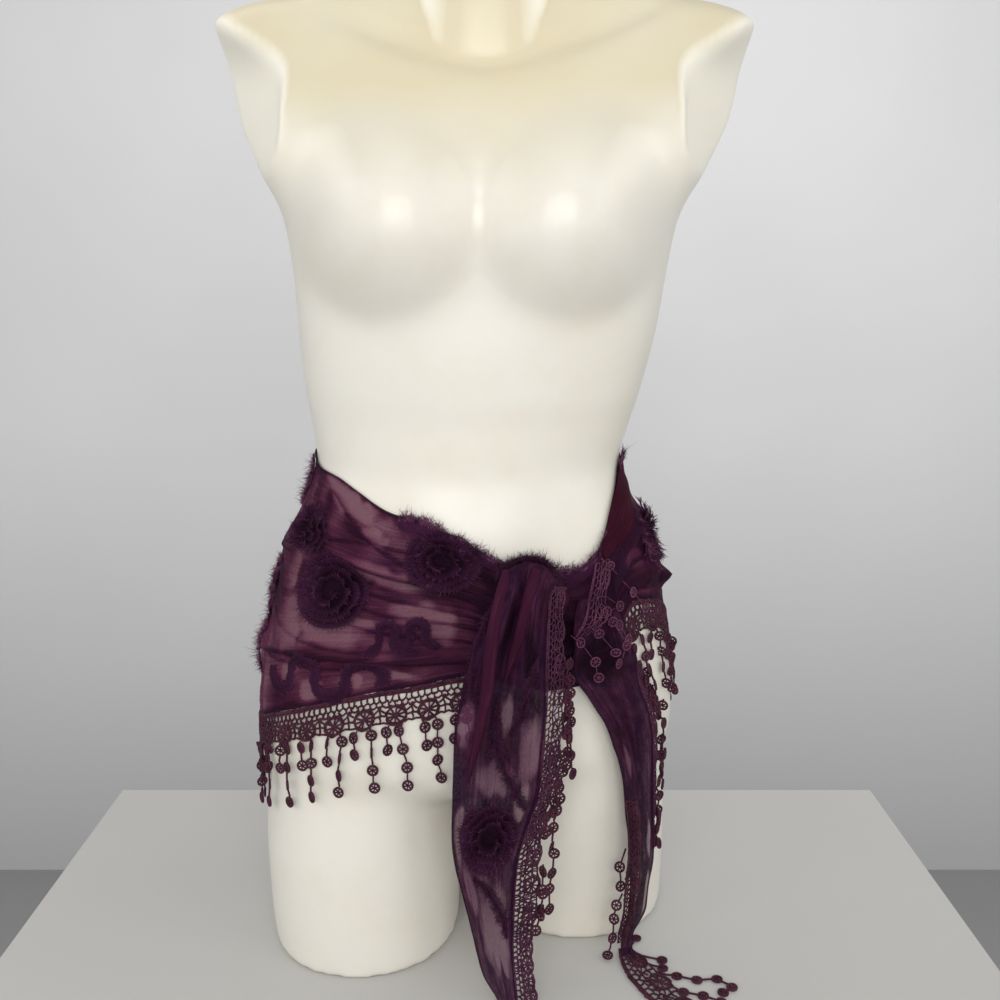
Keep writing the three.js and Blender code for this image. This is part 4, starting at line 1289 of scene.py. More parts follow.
def lace_unit():
    """Cords of one unit of the edging, across it from 0 to 1 and down it in millimetres."""
    lines = [arc(k / 8, (k + 1) / 8, 1.6 + 0.8 * (k % 2), -0.9, 4) for k in range(8)]
    lines.append([[0, 0.7], [0.34, 0.9], [0.67, 0.6], [1, 0.7]])
    lines.append([[0, 2.9], [0.34, 2.7], [0.67, 3.0], [1, 2.9]])
    for shift, y, sag, down in ((0, 7.2, 1.6, (2.9, 5.2, 7.4)), (-0.1, 11.2, 1.5, (8.6, 10, 11.4))):
        for left in np.arange(5) / 5 + shift:
            lines.append(arc(left, left + 0.2, y, sag))
            lines.append(np.column_stack([[left, left + 0.015, left], down]))
    middle, radius = np.array([0.5, 19.8]), np.array([8.3 / 25, 7.4])
    lines += [middle + circle(17) * radius * size for size in (1, 0.86)]
    for angle in np.pi * np.arange(5) / 5 + 0.2:
        spoke = np.array([np.cos(angle), np.sin(angle)]) * radius * 0.85
        lines.append([middle - spoke, middle, middle + spoke])
    lines += [np.array(cord) * [side, 1] + [0.5, 0] for side in (-1, 1) for cord in SIDE_CORDS]
    lines.append([[0, 11.2], [0.02, 15], [-0.02, 19.0]])
    lines.append([[0, 19.0], [-0.02, 22], [0, 24.6]])
    lines.append(arc(0.28, 0.72, 25.4, 2.3, 7))
    return [np.array(line, float) for line in lines]


def lace_band(weave, place, length, pitch, thickness, seed):
    """Lays lace units along a surface. place(s, t, out) takes millimetres along and down it."""
    rng = np.random.default_rng(seed)
    count = max(1, round(length / pitch))
    start = np.arange(count)[:, None] * length / count
    for number, line in enumerate(lace_unit()):
        s = start + line[None, :, 0] * length / count + rng.normal(0, 0.36, (count, len(line)))
        t = line[None, :, 1] + rng.normal(0, 0.36, (count, len(line)))
        lift = 0.75 + 0.3 * (number % 3) + rng.normal(0, 0.12, (count, 1)) + 0 * t
        points = place(s, t, lift)
        heading = t.mean() < 3.2
        ups = place(s, t, lift + 1) - points
        weave.cords(points, ups, thickness * 1.25 if heading else thickness)


def add_discs(weave, centres, normals, ways, width, bold):
    """Round lace discs: a thick ring with a star of threads in it."""
    normals = unit(normals)
    across = unit(np.cross(ways, normals))
    up = np.cross(normals, across)
    rays = [np.outer([1, -1], [np.cos(a), np.sin(a)]) for a in (0.3, 1.35, 2.4)]
    lines = [(circle(13) * 0.84, 0.22, 5)] + [(ray * 0.72, 0.15, 4) for ray in rays]
    for line, thick, sides in lines:
        flat = line[None, :, :1] * across[:, None] + line[None, :, 1:] * up[:, None]
        points = centres[:, None] + flat * width / 2
        weave.cords(points, normals[:, None], width * thick * bold, sides)


def chain(weave, centres, normals, seed, fine=1.0, bold=1.0):
    """A drop: cords from the first point to each disc, and a disc on every later point."""
    rng = np.random.default_rng(seed)
    width, cord = settings("lace").disc * 1000, settings("lace").cord * 1000
    ways = unit(np.diff(centres, axis=0))
    starts = centres[:-1] + ways * width * 0.45
    starts[0] = centres[0]
    middles = (starts + centres[1:]) / 2 + rng.normal(0, 0.35, ways.shape)
    links = np.stack([starts, middles, centres[1:] - ways * width * 0.45], 1)
    weave.cords(links, normals[1:, None], cord * fine * 0.95)
    turned = rng.random(len(ways)) < 0.17
    spin = np.where(turned, rng.uniform(60, 85, len(ways)), rng.normal(0, 20, len(ways)))
    spin = np.radians(spin)[:, None]
    facing = normals[1:] * np.cos(spin) + np.cross(ways, normals[1:]) * np.sin(spin)
    low = centres[1:, 2] < 7
    facing[low] = UP + 0.2 * facing[low]
    add_discs(weave, centres[1:], facing, ways, width, bold)


def chain_on(weave, surface, a, b, out, seed, **thickness):
    centres = surface(a, b, out)
    chain(weave, centres, surface(a, b, out + 1) - centres, seed, **thickness)


def hem_run():
    """Millimetres along the hem where it has an edging, and the turn at each of them."""
    turn = np.linspace(1, 319, 1200)
    return run_along(shawl_point(turn, EDGES.at(turn, "hem"), 0)), turn


def below_hem(s, t, out):
    turn = np.interp(s, *hem_run())
    return shawl_point(turn, EDGES.at(turn, "hem") - 0.3 - t, out)


def beside_runs():
    """For the lace beside each hanging end: its rows, its plan, places along it and their run."""
    for rows, plan, first, last in (
        (TAIL_OVER, BESIDE_OVER, 2.5, 16),
        (TAIL_UNDER, BESIDE_UNDER, 0.1, 5.3),
    ):
        along = np.linspace(first, last, 300)
        yield rows, plan, along, run_along(tail_point(rows, along, 0.5, 0))


def beside_place(rows, plan, along, run, shift=0.0):
    def place(s, t, out):
        spot = np.interp(s, run, along)
        return raised(beside_point(rows, plan, spot, t / LACE_WIDTH, -out - shift), LOWEST_LACE)

    return place


def on_under_end(along, run):
    """Lace laid on the under end, which opens out on its way down."""

    def place(s, t, out):
        spot = np.interp(s, run, along)
        open_out = fade(spot, 4.3, 5.9)
        side = -0.5 - 0.3 * open_out + (0.35 + 0.4 * open_out) * t / LACE_WIDTH
        return tail_point(TAIL_UNDER, spot, side, CLOTH + 0.5 + out)

    return place


def on_table(s, t, out):
    spot = np.interp(s, LACE_END_RUN, LACE_END.key)
    return tail_point(LACE_END, spot, t / LACE_WIDTH - 0.5, out)


def turned_up(s, t, out):
    """The strip of lace turned up over the left hip, between four corners."""
    a, b, c, d = np.array(LOOSE_LACE, float)
    v, u = (s / LOOSE_LENGTH)[..., None], (t / LACE_WIDTH)[..., None]
    spot = (a * (1 - u) + b * u) * (1 - v) + (d * (1 - u) + c * u) * v
    return on_shawl(spot[..., 0], spot[..., 1], out + 1.2 + 6 * v[..., 0])


def lace_piece(name, nodes, finish, *bands):
    """A piece of bands of lace. The sizes of their units and cords are shares of the set ones."""
    weave = Weave()
    lace = settings("lace")
    for place, length, unit_share, cord_share, seed in bands:
        pitch, thickness = lace.unit * 1000 * unit_share, lace.cord * 1000 * cord_share
        lace_band(weave, place, length, pitch, thickness, seed)
    weave.piece(name, finish, nodes, "lace_edging")


def make_lace():
    # edging is a lighter copy of the lace thread: painted light on the lace beside the hanging ends.
    finish, edging = lace_finish(), lace_finish("worn lace thread", (1.2, 1.3, 1.45))
    nodes = ["lace_right_hip", "lace_back", "lace_left_hip"]
    lace_piece("lace_round_hips", nodes, finish, (below_hem, hem_run()[0][-1], 1, 1, 21))
    for end, parts, seed in zip(("over", "under"), beside_runs(), (22, 23)):
        rows, plan, along, run = parts
        bands = [(beside_place(*parts), run[-1], 1, 0.62, seed)]
        low = along > LOWER_LACE_FROM
        if low.any():
            lower = rows, plan, along[low], run[low] - run[low][0]
            bands.append((beside_place(*lower, shift=1.6), lower[3][-1], 0.9, 0.75, 35))
        lace_piece(f"lace_of_{end}_end", ["lace_" + end], edging, *bands)
    along = np.linspace(4, 8.7, 200)
    run = run_along(tail_point(TAIL_UNDER, along, -0.2, 0))
    band = on_under_end(along, run), run[-1], 1, 0.66, 24
    lace_piece("lace_on_under_end", ["lace_under_front"], finish, band)
    band = on_table, LACE_END_RUN[-1], 1.15, 0.9, 25
    lace_piece("lace_on_table", ["lace_end"], finish, band)
    # A lighter copy of the thread: painted light on the lace turned up over the left hip.
    bright = lace_finish("back of the lace thread", LACE_PAINTED_LIGHT)
    lace_piece("lace_turned_up", ["lace_loose"], bright, (turned_up, LOOSE_LENGTH, 1, 0.42, 26))


def hem_drops(weave, rng):
    """A long and a short drop below each unit of the edging round the hips."""
    lace = settings("lace")
    run, turns = hem_run()
    units = round(run[-1] / (lace.unit * 1000))
    for k in range(2 * units):
        share, discs = ((0.3, 4), (0.7, 2))[k % 2]
        turn = np.interp((k // 2 + share) * run[-1] / units, run, turns)
        spacing = lace.spacing * 1000 * rng.normal(1.0, 0.02)
        down = np.concatenate([[0], 5.6 + spacing * np.arange(discs)])
        sway = np.cumsum(rng.normal(0, 0.5, discs + 1)) * (np.arange(discs + 1) > 0)
        out = 1.3 + np.abs(rng.normal(0, 0.8, discs + 1))
        z = EDGES.at(turn, "hem") - LACE_WIDTH + 1 - down
        chain_on(weave, shawl_point, turn + sway, z, out, 100 + k)


def beside_drops(weave, parts, rng, seed):
    """Drops of one to four discs from the lace beside a hanging end."""
    rows, plan, along, run = parts
    over = rows is TAIL_OVER
    start, last = 2, run[-1] - 12
    if over:
        start, last = OVER_DROPS["start"], np.interp(OVER_DROPS["end"], along, run)
    gap = settings("lace").spacing * 1000 * 0.95
    number = 0
    while start < last:
        discs = (4, 2, 3, 1)[number % 4]
        s = start + np.concatenate([[0], 6 + gap * np.arange(discs)])
        spot = np.interp(np.minimum(s, run[-1] - 0.5), run, along)
        room = plan.at(spot, "drops") / np.hypot(plan.at(spot, "across"), plan.at(spot, "back"))
        side = rng.uniform(0.1, 1.1)
        reach = 1 + room * np.clip(side + np.cumsum(rng.normal(0, 0.2, discs + 1)), 0.05, 1.4)
        out = rng.normal(0, 1.6, discs + 1)
        centres = raised(beside_point(rows, plan, spot, reach, out), LOWEST_DISC)
        normals = beside_point(rows, plan, spot, reach, out - 1) - centres
        chain(weave, centres, normals, 300 + seed * 40 + number)
        start += rng.uniform(8, 17) * (1.5 if over and spot[0] > OVER_DROPS["sparse"] else 1)
        number += 1


def make_drops():
    finish = lace_finish()
    weave = Weave()
    hem_drops(weave, np.random.default_rng(31))
    nodes = ["drops_right_hip", "drops_back", "drops_left_hip"]
    weave.piece("drops_round_hips", finish, nodes, "lace_drops")

    for end, parts, seed in zip(("over", "under"), beside_runs(), (32, 33)):
        weave = Weave()
        rng = np.random.default_rng(seed)
        beside_drops(weave, parts, rng, seed)
        for number, path in enumerate(SIDE_DROPS if end == "under" else []):
            normals = np.tile([0.15, -1.0, 0.2], (len(path), 1))
            chain(weave, np.array(path, float), normals, 700 + number)
        weave.piece(f"drops_of_{end}_end", finish, ["drops_" + end], "lace_drops")

    weave = Weave()
    for number, path in enumerate(TABLE_DROPS):
        centres = np.column_stack([path, np.full(len(path), 1.5)])
        chain(weave, centres, UP + rng.normal(0, 0.12, (len(path), 3)), 500 + number)
    weave.piece("drops_on_table", finish, ["drops_end"], "lace_drops")

    weave = Weave()
    for number, path in enumerate(LOOSE_DISCS):
        turn, z = np.array([(path[0][0] + 2.5, path[0][1] + 7), *path]).T
        out = 3.2 + 0.8 * np.sin(np.arange(len(turn)) * 2.1 + number) + 7 * fade(z, 312, 292)
        chain_on(weave, on_shawl, turn, z, out, 600 + number, fine=0.4, bold=0.62)
    # A lighter copy of the thread: painted light on the drops of the turned-up lace.
    bright = lace_finish("back of the drop thread", LACE_PAINTED_LIGHT)
    weave.piece("drops_turned_up", bright, ["drops_loose"], "lace_drops")


# ------------------------------------------------------------------ ribbon
def frayed(weave, roots, outs, alongs, length, seed, thick=0.6, density=3):
    """Loose threads on an edge: short tapered strips that lean out and along it at random."""
    rng = np.random.default_rng(seed)
    roots, outs, alongs = (np.repeat(values, density, 0) for values in (roots, outs, alongs))
    count = len(roots)
    size = np.linalg.norm(outs, axis=1, keepdims=True)
    reach = length * rng.uniform(0.45, 1.25, (count, 1))
    lean = rng.normal(0, 0.55, (count, 1))
    curl = rng.normal(0, 0.35, (count, 3)) * reach
    roots = roots + alongs * rng.uniform(-0.8, 0.8, (count, 1))
    way = unit(outs + alongs * lean * size)
    middle = roots + way * reach * size * 0.55
    tip = roots + way * reach * size + curl
    half = unit(np.cross(way, rng.normal(0, 1, (count, 3)))) * thick / 2
    points = np.stack([roots - half, roots + half, middle - half * 0.8, middle + half * 0.8, tip], 1)
    base = np.arange(count)[:, None] * 5
    weave.add(points, base + np.array([0, 1, 3, 2]), base + np.array([2, 3, 4]), layers=1.0)


def edge_ways(points, edge):
    """The ways out of a ribbon's grid of points and along it, at its first or last column."""
    inner = 1 if edge == 0 else edge - 1
    way = np.gradient(points[:, edge], axis=0)
    return unit(points[:, edge] - points[:, inner]), unit(way)


def surface_patch(surface, a, b, wide=1.0, tall=1.0):
    """Flat millimetres round one place of a surface, laid back on it and stretched."""
    here = surface(a, b, 0.0)
    per_a = np.linalg.norm(surface(a + 0.01, b, 0.0) - here) / 0.01
    per_b = np.linalg.norm(surface(a, b + 0.01, 0.0) - here) / 0.01
    return lambda x, y, out: surface(a + wide * x / per_a, b + tall * y / per_b, out)


def rose(ruffles, threads, lay, radius, height, seed, turns=3.8):
    """A rose of gathered ribbon, wound from the middle outwards."""
    rng = np.random.default_rng(seed)
    count = int(turns * 64)
    theta = np.linspace(0, turns * 2 * np.pi, count)[:, None]
    grow = (theta / theta[-1]) ** 0.8
    v = np.linspace(0, 1, 7)[None, :]
    width = 6.5 + 2.5 * grow
    inner = 1.5 + (radius - width * 0.72) * grow
    ruffle = np.sin(9.3 * theta + 2 * np.sin(theta)) * 0.5 + np.sin(5.1 * theta + 1.3) * 0.5
    ruffle = ruffle + 0.6 * lattice_noise(theta * 3.1, 0 * theta + seed, seed)
    lean = np.radians(68 - 50 * grow) + 0.13 * ruffle * v
    reach = (inner + width * v * np.cos(lean)) * (1 + 0.07 * np.sin(2 * theta + seed))
    lift = 0.4 + (1 - grow) * height * 0.35 + width * v * np.sin(lean) * 0.75
    lift = lift + 0.6 * ruffle * v**2 + 0.5 * v * rng.normal(0, 0.2, (count, 1))
    around = theta + rng.uniform(0, 2 * np.pi)
    lift = np.clip(lift, 0.3, height + 2.5)
    points = lay(reach * np.cos(around), reach * np.sin(around), lift)
    # Painted shade: ring darkens the heart of the rose and the deep part of each turn of ribbon, between the petals.
    ring = 0.7 * (1 - grow) ** 1.5 * (1 - 0.4 * v) + 0.6 * (1 - v) ** 1.5 * grow
    layers = 0.25 + 0.75 * (1 - v) + 0 * grow
    ruffles.sheet(points, layers, ring.clip(0, 0.9), pairs(theta * 0.008, v * 0.01))
    length = settings("ribbon").fray * 1000 * 0.9
    frayed(threads, points[:, -1], *edge_ways(points, -1), length, seed + 50, 0.5)
    # A disc of ribbon under the rose, darkened by painted shade.
    angle = np.linspace(0, 2 * np.pi, 49)[:, None]
    reach = np.linspace(0.02, 0.9, 12)[None, :] * radius
    under = lay(reach * np.cos(angle), reach * np.sin(angle), 0.4 + 0 * reach)
    ruffles.sheet(under, 1.0, 0.55, pairs(angle * 0.02, reach * 0.001))


def make_roses():
    """The roses round the hips, whose loose threads hang on them, and the one on the over end."""
    finish, loose = ribbon_finish(), fray_finish()
    roses = []
    for number, row in enumerate(WRAP_ROSES):
        lay = surface_patch(on_shawl, row["turn"], row["z"], row["wide"], row["tall"])
        name = f"rose_{number + 1}"
        roses.append((name, name, row, lay, 40 + number))
    lay = surface_patch(on_over_end, 0.02, TAIL_ROSE["along"], 1.0, 1.25)
    roses.append(("rose_tail", "rose_tail_1", TAIL_ROSE, lay, 60))
    for name, node, row, lay, seed in roses:
        ruffles, threads = Weave(), Weave()
        rose(ruffles, threads, lay, row["radius"], row["height"], seed)
        piece = ruffles.piece("ribbon_" + name, finish, [node], "ribbon")
        frays = threads.piece("fray_" + name, loose, (), "ribbon")
        if row is not TAIL_ROSE:
            frays.parent = piece
            frays.matrix_parent_inverse = piece.matrix_world.inverted()


def make_scrolls():
    finish, loose = ribbon_finish(), fray_finish()
    v = np.linspace(-0.04, 1.04, 150)[:, None]
    u = np.linspace(-1, 1, 9)[None, :]
    for number, row in enumerate(SCROLLS):
        half = settings("ribbon").width * 500 * row["wide"]
        ruffles, threads = Weave(), Weave()
        turns = row["to"] - row["from"]
        phase = 2 * np.pi * row["waves"] * v + np.radians(row["phase"])
        swing = 0.28 / row["waves"] / np.pi * np.sin(2 * phase)
        turn = row["from"] + turns * (v - swing)
        z = row["z"] + row["rise"] * v + row["wave"] * np.sin(phase)
        slope = 0.55 * np.cos(phase) * row["wave"] * 2 * np.pi * row["waves"]
        run = turns * MM_PER_DEGREE * (1 - 0.85 * np.cos(phase) ** 2)
        ruffle = lattice_noise(v * 26, u * 0.4 + number, 70 + number)
        side = u * half * (1 + 0.22 * ruffle) / np.hypot(slope, run)
        out = 1.1 + 1.6 * (1 - u**2) + 0.8 * ruffle * np.abs(u)
        turn, z = turn - side * slope / MM_PER_DEGREE, z + side * run
        points = on_shawl(turn, z, np.maximum(out, 0.4))
        layers = 0.25 + 0.5 * (1 - np.abs(u)) + 0 * v
        ruffles.sheet(points, layers, uv=pairs(v * 0.15, u * 0.005))
        name = f"scroll_{number + 1}"
        ruffles.piece("ribbon_" + name, finish, [name], "ribbon")
        for edge in (0, -1):
            ways = edge_ways(points, edge)
            frayed(threads, points[:, edge], *ways, 2.3, 80 + number, density=4)
        threads.piece("fray_" + name, loose, (), "ribbon")


def strip(ruffles, threads, surface, a, b, half, seed):
    """A narrow ruffled ribbon along places a, b of a surface, frayed on both edges."""
    middle, normal, way, side = line_on(surface, a, b)
    u = np.linspace(-1, 1, 7)[None, :]
    step = np.arange(len(a))[:, None]
    ruffle = lattice_noise(step * 0.22, u * 1.2 + seed, seed)
    ends = np.clip(np.minimum(step, len(a) - 1 - step) / 22, 0.15, 1) ** 0.5
    across = (side * half)[:, None] * (u * ends * (1 + 0.3 * ruffle))[..., None]
    lift = normal[:, None] * (0.8 * (1 - u**2) + 0.6 * ruffle.clip(-0.3))[..., None]
    points = middle[:, None] + across + lift
    layers = 0.3 + 0.6 * (1 - np.abs(u)) + 0 * step
    ruffles.sheet(points, layers, uv=pairs(step * 0.001, u * 0.004))
    for edge in (0, -1):
        outs = edge_ways(points, edge)[0] + 0.9 * normal
        frayed(threads, points[:, edge], 0.75 * ends * outs, way, 5.5, seed + edge, 0.45)
    frayed(threads, middle, ends * normal, way, 7, seed + 5, 0.45)


def make_frayed_edge():
    """The frayed ribbon on stretches of the top edge and down the sides of the hips."""
    ruffles, threads = Weave(), Weave()
    v = np.linspace(0, 1, 6)[None, :]
    for number, (first, last) in enumerate(FRAYED_EDGES):
        turn = np.linspace(first, last, int((last - first) * 2.4))[:, None]
        ends = fade(np.minimum(turn - first, last - turn), 0, 4)
        wave = lattice_noise(turn / 3, v * 1.5, 90 + number)
        z = EDGES.at(turn, "top") - 9 + (8.5 + 2.5 * ends + 1.2 * wave) * v
        points = on_shawl(turn, z, np.maximum(1.0 + 0.9 * wave * v + 0.6 * v, 0.4))
        layers = 0.2 + 0.6 * (1 - v) + 0 * turn
        ruffles.sheet(points, layers, uv=pairs(turn * 0.0026, v * 0.009))
        alongs = edge_ways(points, -1)[1]
        turn = turn[:, 0]
        outs = UP + 0.35 * (on_shawl(turn, z[:, -1], 3) - on_shawl(turn, z[:, -1], 2))
        clump = 0.55 + 0.75 * lattice_noise(turn * 1.1, 0 * turn, 97).clip(-0.6, 1)
        frayed(threads, points[:, -1], outs * clump[:, None], alongs, 7.5, 95 + number, 0.45, 5)
        frayed(threads, points[:, -3], outs, alongs, 5, 98 + number, 0.45)
    for number, path in enumerate(FRAYED_STRIPS):
        strip(ruffles, threads, on_shawl, *along_path(path, 24 * len(path)), 5, 110 + number)
    ruffles.piece("ribbon_top_edge", ribbon_finish("ribbon with light behind it", 1.5), (), "ribbon")
    pale = fray_finish("loose thread with light behind it", (0.21, 0.062, 0.145, 1))
    threads.piece("fray_top_edge", pale, (), "ribbon")


def make_end_ribbons():
    """Frayed ribbons on the over end, and the loose threads where it leaves the knot."""
    ruffles, threads = Weave(), Weave()
    for number, path in enumerate(TAIL_RIBBONS):
        along, across = along_path(path, 18 * len(path))
        strip(ruffles, threads, on_over_end, across, along, 3.0, 120 + number)
    across = np.linspace(-0.48, 0.48, 70)
    roots = tail_point(TAIL_OVER, 1.5 + 0.5 * (2 * across) ** 2, across, 2.2)
    alongs = unit(np.gradient(roots, axis=0))
    outs = np.stack([1.6 * across, -0.4 + 0 * across, 1 - 0.8 * np.abs(across)], -1)
    frayed(threads, roots, outs, alongs, 5.5, 130, density=5)
    ruffles.piece("ribbon_over_end", ribbon_finish(), (), "ribbon")
    shaded = fray_finish("loose thread in shade", (0.06, 0.017, 0.042, 1))
    threads.piece("fray_over_end", shaded, (), "ribbon")


# ------------------------------------------------------------------ stage
TABLE_LEFT, TABLE_RIGHT, TABLE_FRONT, TABLE_BACK, TABLE_THICK = -0.392, 0.438, -1.6, 0.224, 0.03
WALL, GROUND = 1.65, -0.955  # how far behind the form and below the table top, in metres
AT_FORM, AT_WALL = (0.1, 0.0, 0.5), (0.1, WALL, 0.4)
# Name, place in metres, aim, size, power and colour.
LAMPS = [
    ("front lamp", (0.03, -1.95, 1.0), AT_FORM, (1.6, 0.8), 20.5, (1, 0.985, 0.96)),
    ("left lamp", (-1.5, -0.85, 0.95), AT_FORM, (1.6, 1.2), 6.5, (1, 0.99, 0.97)),
    ("right lamp", (1.55, -0.8, 0.95), AT_FORM, (1.6, 1.2), 6.5, (1, 0.99, 0.97)),
    ("ceiling lamp", (0.0, -0.3, 2.1), AT_FORM, (1.4, 1.2), 1.5, (1, 0.99, 0.97)),
    ("wall lamp", (0.35, 0.3, 1.2), AT_WALL, (2.0, 0.8), 5.5, (1, 1, 1)),
]
CAMERA_PLACE, CAMERA_TILT, SENSOR = (0.027, -0.87, 0.56), 11.9, 36


def plain_surface(name, colour, left, right, line, rises=False):
    """A flat or bent sheet of the stage. A surface that rises gets painted shade, darker near its foot."""
    mesh = bpy.data.meshes.new(name)
    x0, y0, _ = ORIGIN / 1000
    corners = [(x + x0, y + y0, z) for y, z in line for x in (left, right)]
    faces = [(2 * i, 2 * i + 1, 2 * i + 3, 2 * i + 2) for i in range(len(line) - 1)]
    mesh.from_pydata(corners, [], faces)
    f = Finish("plain " + name)
    tone = f.mixed(f.ramp(f.noise(1.6, 2), 0.3, 0.7), colour, times(colour, 0.94))
    # Painted shade: the backdrop is darker towards its foot.
    if rises:
        tone = f.mixed(f.ramp(f.place("Z"), -0.9, 0.2), times(colour, 0.7), tone)
    mesh.materials.append(f.done({"Base Color": tone, "Roughness": 0.75}))
    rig.stage(linked(name, mesh))


def make_stage():
    stage, scene = settings("stage"), bpy.context.scene
    top = [(TABLE_FRONT, -TABLE_THICK), (TABLE_FRONT, 0), (TABLE_BACK, 0), (TABLE_BACK, -TABLE_THICK)]
    plain_surface("table", stage.floor, TABLE_LEFT, TABLE_RIGHT, top)
    plain_surface("backdrop", stage.wall, -3, 3, [(WALL, GROUND), (WALL, 3)], rises=True)
    plain_surface("ground", times(stage.wall, 0.4), -3, 3, [(-3, GROUND), (WALL, GROUND)])

    world = bpy.data.worlds.new("studio")
    world.use_nodes = True
    light = world.node_tree.nodes["Background"].inputs
    light["Color"].default_value = (0.97, 0.98, 1, 1)
    light["Strength"].default_value = 0.5
    scene.world = world
    scene.view_settings.view_transform = "Standard"
    for name, spot, aim, size, power, colour in LAMPS:
        lamp = bpy.data.lights.new(name, "AREA")
        lamp.shape = "RECTANGLE"
        lamp.size, lamp.size_y = size
        lamp.energy = power
        lamp.color = colour
        made = linked(name, lamp)
        made.location = np.array(spot) + ORIGIN / 1000
        way = np.array(aim) - np.array(spot)
        tilt = math.atan2(math.hypot(way[0], way[1]), -way[2])
        made.rotation_euler = (tilt, 0, math.atan2(way[0], -way[1]) + math.pi)

    camera = bpy.data.cameras.new("camera")
    camera.lens = stage.lens
    camera.sensor_width = SENSOR
    made = linked("camera", camera)
    made.location = np.array(CAMERA_PLACE) + ORIGIN / 1000
    made.rotation_euler = (math.radians(90 - CAMERA_TILT), 0, 0)
    scene.camera = made


# ------------------------------------------------------------------ declared cloth
# Name, width and length in metres, how it is held, what it lies on, and flat area.
CUTS = [
    ("shawl_wrap", (1.02, 0.31), "draped", "form_shell", 0.185),
    ("shawl_turned_edge", (0.1, 0.03), "folded", "shawl_wrap", 0.0022),
    ("shawl_knot", (0.09, 0.07), "gathered", "form_shell", None),
    ("tail_over_cloth", (0.073, 0.41), "hung", "shawl_knot", None),
    ("tail_under_cloth", (0.055, 0.27), "hung", "shawl_wrap", None),
]
# The starts of the names of what is sewn to a cloth.
SEWN = {
    "shawl_wrap": """
        lace_round lace_turned drops_round drops_turned ribbon_scroll fray_scroll ribbon_top fray_top
        ribbon_rose_1 ribbon_rose_2 ribbon_rose_3 ribbon_rose_4
        ribbon_rose_5 ribbon_rose_6 ribbon_rose_7 ribbon_rose_8
    """,
    "tail_over_cloth": """
        lace_of_over drops_of_over tail_over_rolls ribbon_rose_tail fray_rose_tail ribbon_over
        fray_over
    """,
    "tail_under_cloth": "lace_of_under lace_on drops_of_under drops_on",
}


def declare_cloth():
    """States the cut of each stretch of cloth, and names the lace, drops and ribbons sewn to it."""
    pieces = bpy.data.objects
    for name, flat, held, rests, area in CUTS:
        starts = tuple(SEWN.get(name, "").split())
        sewn = sorted(piece.name for piece in pieces if piece.name.startswith(starts))
        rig.sheet(
            pieces[name],
            flat=flat,
            held=held,
            rests_on=[rests],
            area=area,
            with_pieces=[pieces[each] for each in sewn],
        )


# ------------------------------------------------------------------ operators
class SHAWL_OT_stage(bpy.types.Operator):
    """Camera, lamps, floor and backdrop"""

    bl_idname = "shawl.stage"
    bl_label = "Stage"

    def execute(self, context):
        make_stage()
        return {"FINISHED"}


class SHAWL_OT_form(bpy.types.Operator):
    """The moulded display form that the shawl is tied on"""

    bl_idname = "shawl.form"
    bl_label = "Display form"

    def execute(self, context):
        make_form()
        return {"FINISHED"}


class SHAWL_OT_wrap(bpy.types.Operator):
    """The chiffon round the hips, its turned edge and its knot"""

    bl_idname = "shawl.wrap"
    bl_label = "Chiffon round the hips"

    def execute(self, context):
        make_wrap()
        make_turned_edge()
        make_knot()
        return {"FINISHED"}


class SHAWL_OT_ends(bpy.types.Operator):
    """The two hanging ends of the shawl and the rolled folds on them"""

    bl_idname = "shawl.ends"
    bl_label = "Hanging ends"

    def execute(self, context):
        make_tail("tail_over_cloth", TAIL_OVER, OVER_WINDOWS, OVER_HOLLOWS, "tail_over", 15)
        make_tail("tail_under_cloth", TAIL_UNDER, UNDER_WINDOWS, UNDER_HOLLOWS, "tail_under", 18)
        make_rolls()
        return {"FINISHED"}


class SHAWL_OT_lace(bpy.types.Operator):
    """The lace edging of cords and wheels"""

    bl_idname = "shawl.lace"
    bl_label = "Lace edging"

    def execute(self, context):
        make_lace()
        return {"FINISHED"}


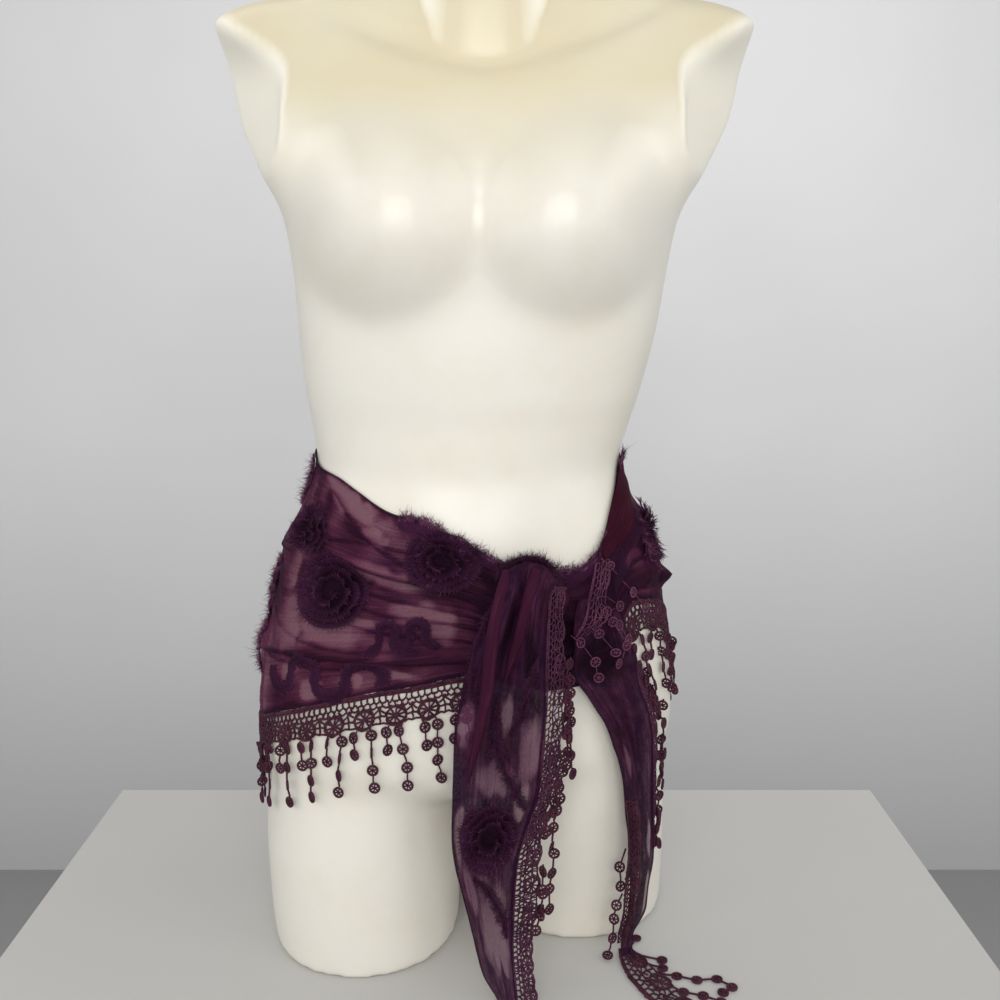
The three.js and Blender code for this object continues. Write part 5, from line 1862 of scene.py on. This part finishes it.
class SHAWL_OT_drops(bpy.types.Operator):
    """The rows of hanging cords with lace discs"""

    bl_idname = "shawl.drops"
    bl_label = "Lace drops"

    def execute(self, context):
        make_drops()
        return {"FINISHED"}


class SHAWL_OT_ribbon(bpy.types.Operator):
    """Ribbon roses, scroll ribbons and the frayed top edge"""

    bl_idname = "shawl.ribbon"
    bl_label = "Ribbon"

    def execute(self, context):
        make_roses()
        make_scrolls()
        make_frayed_edge()
        make_end_ribbons()
        declare_cloth()
        return {"FINISHED"}


GROUPS = {
    "form": FormSettings,
    "cloth": ClothSettings,
    "lace": LaceSettings,
    "ribbon": RibbonSettings,
    "stage": StageSettings,
}
STEPS = [
    SHAWL_OT_stage,
    SHAWL_OT_form,
    SHAWL_OT_wrap,
    SHAWL_OT_ends,
    SHAWL_OT_lace,
    SHAWL_OT_drops,
    SHAWL_OT_ribbon,
]


class SHAWL_PT_panel(bpy.types.Panel):
    """Lists the sizes, the colours and the pieces"""

    bl_idname = "SHAWL_PT_panel"
    bl_label = "Shawl"
    bl_space_type = "VIEW_3D"
    bl_region_type = "UI"
    bl_category = "Shawl"

    def draw(self, context):
        for name, group in GROUPS.items():
            box = self.layout.box()
            box.label(text=name.capitalize())
            for key in group.__annotations__:
                box.prop(settings(name), key)
        for step in STEPS:
            self.layout.operator(step.bl_idname)


def register():
    for group in GROUPS.values():
        bpy.utils.register_class(group)
    for name, group in GROUPS.items():
        setattr(bpy.types.Scene, "shawl_" + name, bpy.props.PointerProperty(type=group))
    for step in STEPS:
        bpy.utils.register_class(step)
    bpy.utils.register_class(SHAWL_PT_panel)


def unregister():
    bpy.utils.unregister_class(SHAWL_PT_panel)
    for step in reversed(STEPS):
        bpy.utils.unregister_class(step)
    for name, group in GROUPS.items():
        delattr(bpy.types.Scene, "shawl_" + name)
        bpy.utils.unregister_class(group)


def main():
    register()
    for step in STEPS:
        group, name = step.bl_idname.split(".")
        getattr(getattr(bpy.ops, group), name)()
    sizes = {"cad": [list(c) for c in CAD_BOX], "visual": [list(c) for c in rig.bounds()]}
    with open("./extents.json", "w") as file:
        json.dump(sizes, file)


if __name__ == "__main__":
    main()
